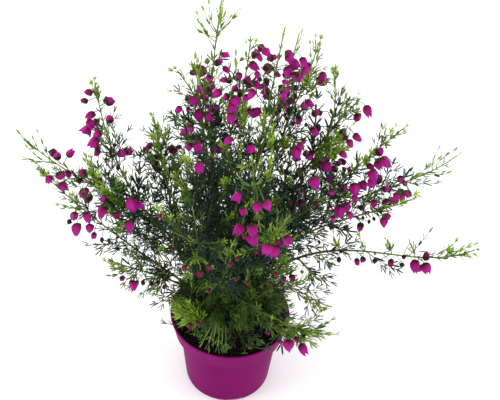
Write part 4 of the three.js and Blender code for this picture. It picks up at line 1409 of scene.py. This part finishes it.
def makeLeaves():
    draw = random.Random(leafPlan["seed"])
    shapes = {
        name: [[leafShape(style, pairs, bend) for bend in leafPlan["bends"]] for pairs in style["pairs"]]
        for name, style in leafStyles.items()
    }
    clear = treeOf([flower["centre"] for flower in flowers])
    shown = shownPlaces()
    clearView = treeOf([(x, y, 0) for x, y, *_ in shown])
    parts = {}
    count = 0
    for shoot in stemsInOrder() + shoots:
        part = parts.setdefault(boughOf(shoot["stem"]), bmesh.new())
        for styleName, shape, foot, direction, tangent, size, shade in leafPlaces(shoot, shapes, draw):
            length = leafStyles[styleName]["length"]
            middle = foot + direction * length * leafPlan["middleAt"] * mm * size
            tip = foot + direction * length * leafPlan["tipAt"] * mm * size
            x, y, depth = pixelOf(middle)
            _, nearest, gap = clearView.find((x, y, 0))
            *_, shownDepth, shownClear = shown[nearest]
            isInFront = gap < shownClear and depth < shownDepth + leafPlan["depthPast"] * mm
            if clear.find(middle)[2] < leafPlan["clearOfFlowers"] * mm or hangsOverRim(tip) or not fits(tip):
                continue
            if not (styleName in keptClearStyles and isInFront):
                addCopy(part, shape, placeAlong(foot, direction, tangent * -1, size), shade)
                count += 1
    for bough, part in parts.items():
        nodes = [node for node, (stem, *_) in leafyShoots.items() if boughOf(stem) == bough]
        finishPiece("leaves_" + bough, part, [leafMaterial], nodes)
    print("leaves made:", count)


makeLeaves()


# Pot

potSizes = {
    "height": 90, "rimRadius": 60, "lipHeight": 2, "collarHeight": 21.5, "collarFootRadius": 55.5,
    "collarTopRadius": 59, "bodyTopRadius": 50, "footRadius": 42, "wall": 1.5, "floorUnderside": 2.5,
    "footRingWidth": 4.5, "hubRadius": 14, "segments": 96, "creaseAngle": 38, "weld": 0.02,
    "notchLength": 14, "notchWidth": 17, "notchDepth": 2, "notchCount": 4, "firstNotch": 12,
    "holeRadius": 4, "holeDepth": 20, "holeSides": 20, "holeCircle": 26, "holeCount": 8,
}


def cutWith(piece, cutters):
    for cutter in cutters:
        cut = piece.modifiers.new("cut", "BOOLEAN")
        cut.operation = "DIFFERENCE"
        cut.object = cutter
    bpy.context.view_layer.update()
    graph = bpy.context.evaluated_depsgraph_get()
    cleaned = bpy.data.meshes.new_from_object(piece.evaluated_get(graph))
    part = bmesh.new()
    part.from_mesh(cleaned)
    bmesh.ops.remove_doubles(part, verts=part.verts, dist=potSizes["weld"] * mm)
    bmesh.ops.dissolve_degenerate(part, edges=part.edges, dist=potSizes["weld"] * mm)
    part.to_mesh(cleaned)
    part.free()
    piece.modifiers.clear()
    piece.data = cleaned
    for cutter in cutters:
        bpy.data.objects.remove(cutter)


def cutterFrom(part, place):
    # a cutting body, moved to its place
    bmesh.ops.transform(part, matrix=place, verts=part.verts)
    cutter = bpy.data.objects.new("cutter", toShape(part, "cutter"))
    bpy.context.collection.objects.link(cutter)
    return cutter


def turnedOut(radius, count, i, first=0):
    # a place on a circle of the floor, for one of several notches or holes
    turn = Matrix.Rotation(math.radians(first) + 2 * math.pi / count * i, 4, "Z")
    return turn @ Matrix.Translation((radius * mm, 0, 0))


def potOutline():
    size = potSizes
    top, shoulder, wall = size["height"], size["height"] - size["collarHeight"], size["wall"]
    underside, floor, hub = size["floorUnderside"], size["floorUnderside"] + size["wall"], size["hubRadius"]
    foot, ring = size["footRadius"], size["footRadius"] - size["footRingWidth"]
    body, collarFoot, collarTop = size["bodyTopRadius"], size["collarFootRadius"], size["collarTopRadius"]
    rim, lipFoot = size["rimRadius"], top - size["lipHeight"]
    return [
        # the disc under the floor, the floor's underside and the foot ring
        (0, 0), (hub, 0), (hub + 1.5, underside), (ring - 1.5, underside), (ring, 0), (foot, 0),
        # the rounded foot and the body up to the shoulder under the collar
        (foot + 0.9, 0.5), (foot + 1.4, 1.6), (foot + 1.8, 4), (foot + 2, 6), (body - 0.2, shoulder - 4),
        (body, shoulder - 2.2), (body + 0.8, shoulder - 1.0), (collarFoot - 0.8, shoulder - 0.1),
        # the collar and the lip
        (collarFoot, shoulder + 0.5), (collarTop, lipFoot - 0.4), (rim - 0.2, lipFoot), (rim, lipFoot + 0.5),
        (rim, top - 0.5), (rim - 0.4, top), (rim - wall + 0.3, top), (rim - wall, top - 0.4),
        # the inside down to the floor and its middle
        (collarFoot - wall, shoulder + 1.8), (body - wall, shoulder - 0.2), (foot + 0.4, floor + 1.5),
        (foot - 1.2, floor), (hub + 1, floor), (hub - 0.5, wall), (0, wall),
    ]


def makePot():
    size = potSizes
    shell = spunShape(potOutline(), size["segments"])
    pot = finishPiece("pot_shell", shell, [potMaterial], ["pot"])
    cutters = []
    for i in range(size["notchCount"]):
        notch = bmesh.new()
        bmesh.ops.create_cube(notch, size=1)
        sides = (size["notchLength"] * mm, size["notchWidth"] * mm, 2 * size["notchDepth"] * mm, 1)
        place = turnedOut(size["footRadius"], size["notchCount"], i, size["firstNotch"])
        cutters.append(cutterFrom(notch, place @ Matrix.Diagonal(sides)))
    for i in range(size["holeCount"]):
        # turned by half a side, so that no corner of the hole lies on an edge of the floor
        hole, radius = bmesh.new(), size["holeRadius"] * mm
        bmesh.ops.create_cone(hole, cap_ends=True, segments=size["holeSides"], radius1=radius, radius2=radius,
                              depth=size["holeDepth"] * mm)
        place = turnedOut(size["holeCircle"], size["holeCount"], i)
        cutters.append(cutterFrom(hole, place @ Matrix.Rotation(math.pi / size["holeSides"], 4, "Z")))
    cutWith(pot, cutters)
    pot.data.shade_smooth()
    pot.data.set_sharp_from_angle(angle=math.radians(size["creaseAngle"]))


makePot()
print("pot made")


# Potting mix

soilSizes = {
    "level": 79,
    "footHeight": 4.4,
    "footInset": 2,
    "bodyInset": 1.9,
    "collarInset": 2.2,
    "topInset": 0.5,
    "edgeDrop": 1,
    "segments": 120,
    "rings": 26,
    "mound": 3,
    "moundRadii": [0, 17, 34, 46, 56],
    "moundShares": [1, 0.7, 0.2, -0.3, 0],
    "rough": 1.3,
    "lumpWidth": 7,
    "lumpFractal": (0.6, 2.0, 4),
    "calmEdge": 6,
    "calmest": 0.25,
    "chips": 330,
    "seed": 3,
    "chipSizes": (0.9, 2.6),
    "chipShares": (1.3, 0.8, 0.45),
    "chipTurn": 6.3,
    "chipTilt": 0.5,
    "chipSpread": (0.02, 0.97),
}


def soilHeight(x, y):
    # the surface in mm: mounded round the trunk, with lumps that calm down at the pot's wall
    size, radius = soilSizes, math.hypot(x, y)
    mound = size["mound"] * np.interp(radius, size["moundRadii"], size["moundShares"])
    place = Vector((x / size["lumpWidth"], y / size["lumpWidth"], 0))
    lumps = noise.fractal(place, *size["lumpFractal"]) * size["rough"]
    fromWall = size["moundRadii"][-1] - radius
    return size["level"] + mound + lumps * min(1, fromWall / size["calmEdge"] + size["calmest"])


def makeSoil():
    size, pot = soilSizes, potSizes
    shoulder, level, rings = pot["height"] - pot["collarHeight"], size["level"], size["rings"]
    inner = (pot["collarFootRadius"] + pot["collarTopRadius"]) / 2 - pot["wall"] - size["topInset"]
    outline = [
        (0, size["footHeight"]), (pot["footRadius"] - size["footInset"], size["footHeight"]),
        (pot["bodyTopRadius"] - size["bodyInset"], shoulder),
        (pot["collarFootRadius"] - size["collarInset"], shoulder + size["collarInset"]),
        (inner, level - size["edgeDrop"]),
        *((inner * (1 - i / rings), level) for i in range(rings + 1)),
    ]
    part = spunShape(outline, size["segments"])
    for vert in part.verts:
        x, y, z = vert.co / mm
        if z > level - size["edgeDrop"] / 2:
            vert.co.z = soilHeight(x, y) * mm
    finishPiece("potting_mix", part, [soilMaterial], ["potting_soil"])
    draw = random.Random(size["seed"])
    chips, chip = bmesh.new(), bmesh.new()
    bmesh.ops.create_icosphere(chip, subdivisions=1, radius=1)
    chipShape = toShape(chip, "chip")
    for _ in range(size["chips"]):
        radius, angle = inner * math.sqrt(draw.uniform(*size["chipSpread"])), draw.uniform(0, 2 * math.pi)
        x, y = radius * math.cos(angle), radius * math.sin(angle)
        scale = [draw.uniform(*size["chipSizes"]) * mm * share for share in size["chipShares"]]
        turn = Matrix.Rotation(draw.uniform(0, size["chipTurn"]), 4, "Z")
        turn = turn @ Matrix.Rotation(draw.uniform(-size["chipTilt"], size["chipTilt"]), 4, "X")
        place = Matrix.Translation((x * mm, y * mm, soilHeight(x, y) * mm))
        addCopy(chips, chipShape, place @ turn @ Matrix.Diagonal((*scale, 1)))
    finishPiece("bark_crumbs", chips, [soilMaterial], smooth=False)


makeSoil()
print("potting mix made")


# Stage and light

stageLook = {
    "floorColour": "#ffffff",
    "floorRoughness": 0.9,
    "floorSize": 4,
    "worldStrength": 1.18,
    "aim": (0, 0, 0.2),
    "lamps": {
        "key": {"position": (-1.9, -0.5, 1.3), "size": 1.4, "power": 20},
        "fill": {"position": (1.8, -0.1, 1.0), "size": 1.2, "power": 10},
    },
}


def makeStage():
    floorPart = bmesh.new()
    bmesh.ops.create_grid(floorPart, x_segments=1, y_segments=1, size=stageLook["floorSize"])
    mesh = toShape(floorPart, "floor")
    material, _, shader = newMaterial("matt_white_paper", Roughness=stageLook["floorRoughness"])
    shader.inputs["Base Color"].default_value = linear(stageLook["floorColour"])
    mesh.materials.append(material)
    floor = bpy.data.objects.new("floor", mesh)
    bpy.context.collection.objects.link(floor)
    world = bpy.data.worlds.new("studio")
    world.use_nodes = True
    background = world.node_tree.nodes["Background"]
    background.inputs["Color"].default_value = (1, 1, 1, 1)
    background.inputs["Strength"].default_value = stageLook["worldStrength"]
    bpy.context.scene.world = world
    bpy.context.scene.view_settings.view_transform = "Standard"


def addLamp(name, position, size, power):
    data = bpy.data.lights.new(name, "AREA")
    data.size = size
    data.energy = power
    lamp = bpy.data.objects.new(name, data)
    lamp.location = position
    lamp.rotation_euler = (Vector(stageLook["aim"]) - Vector(position)).to_track_quat("-Z", "Y").to_euler()
    bpy.context.collection.objects.link(lamp)


makeStage()
for name, lamp in stageLook["lamps"].items():
    addLamp(name, **lamp)
print("stage made")
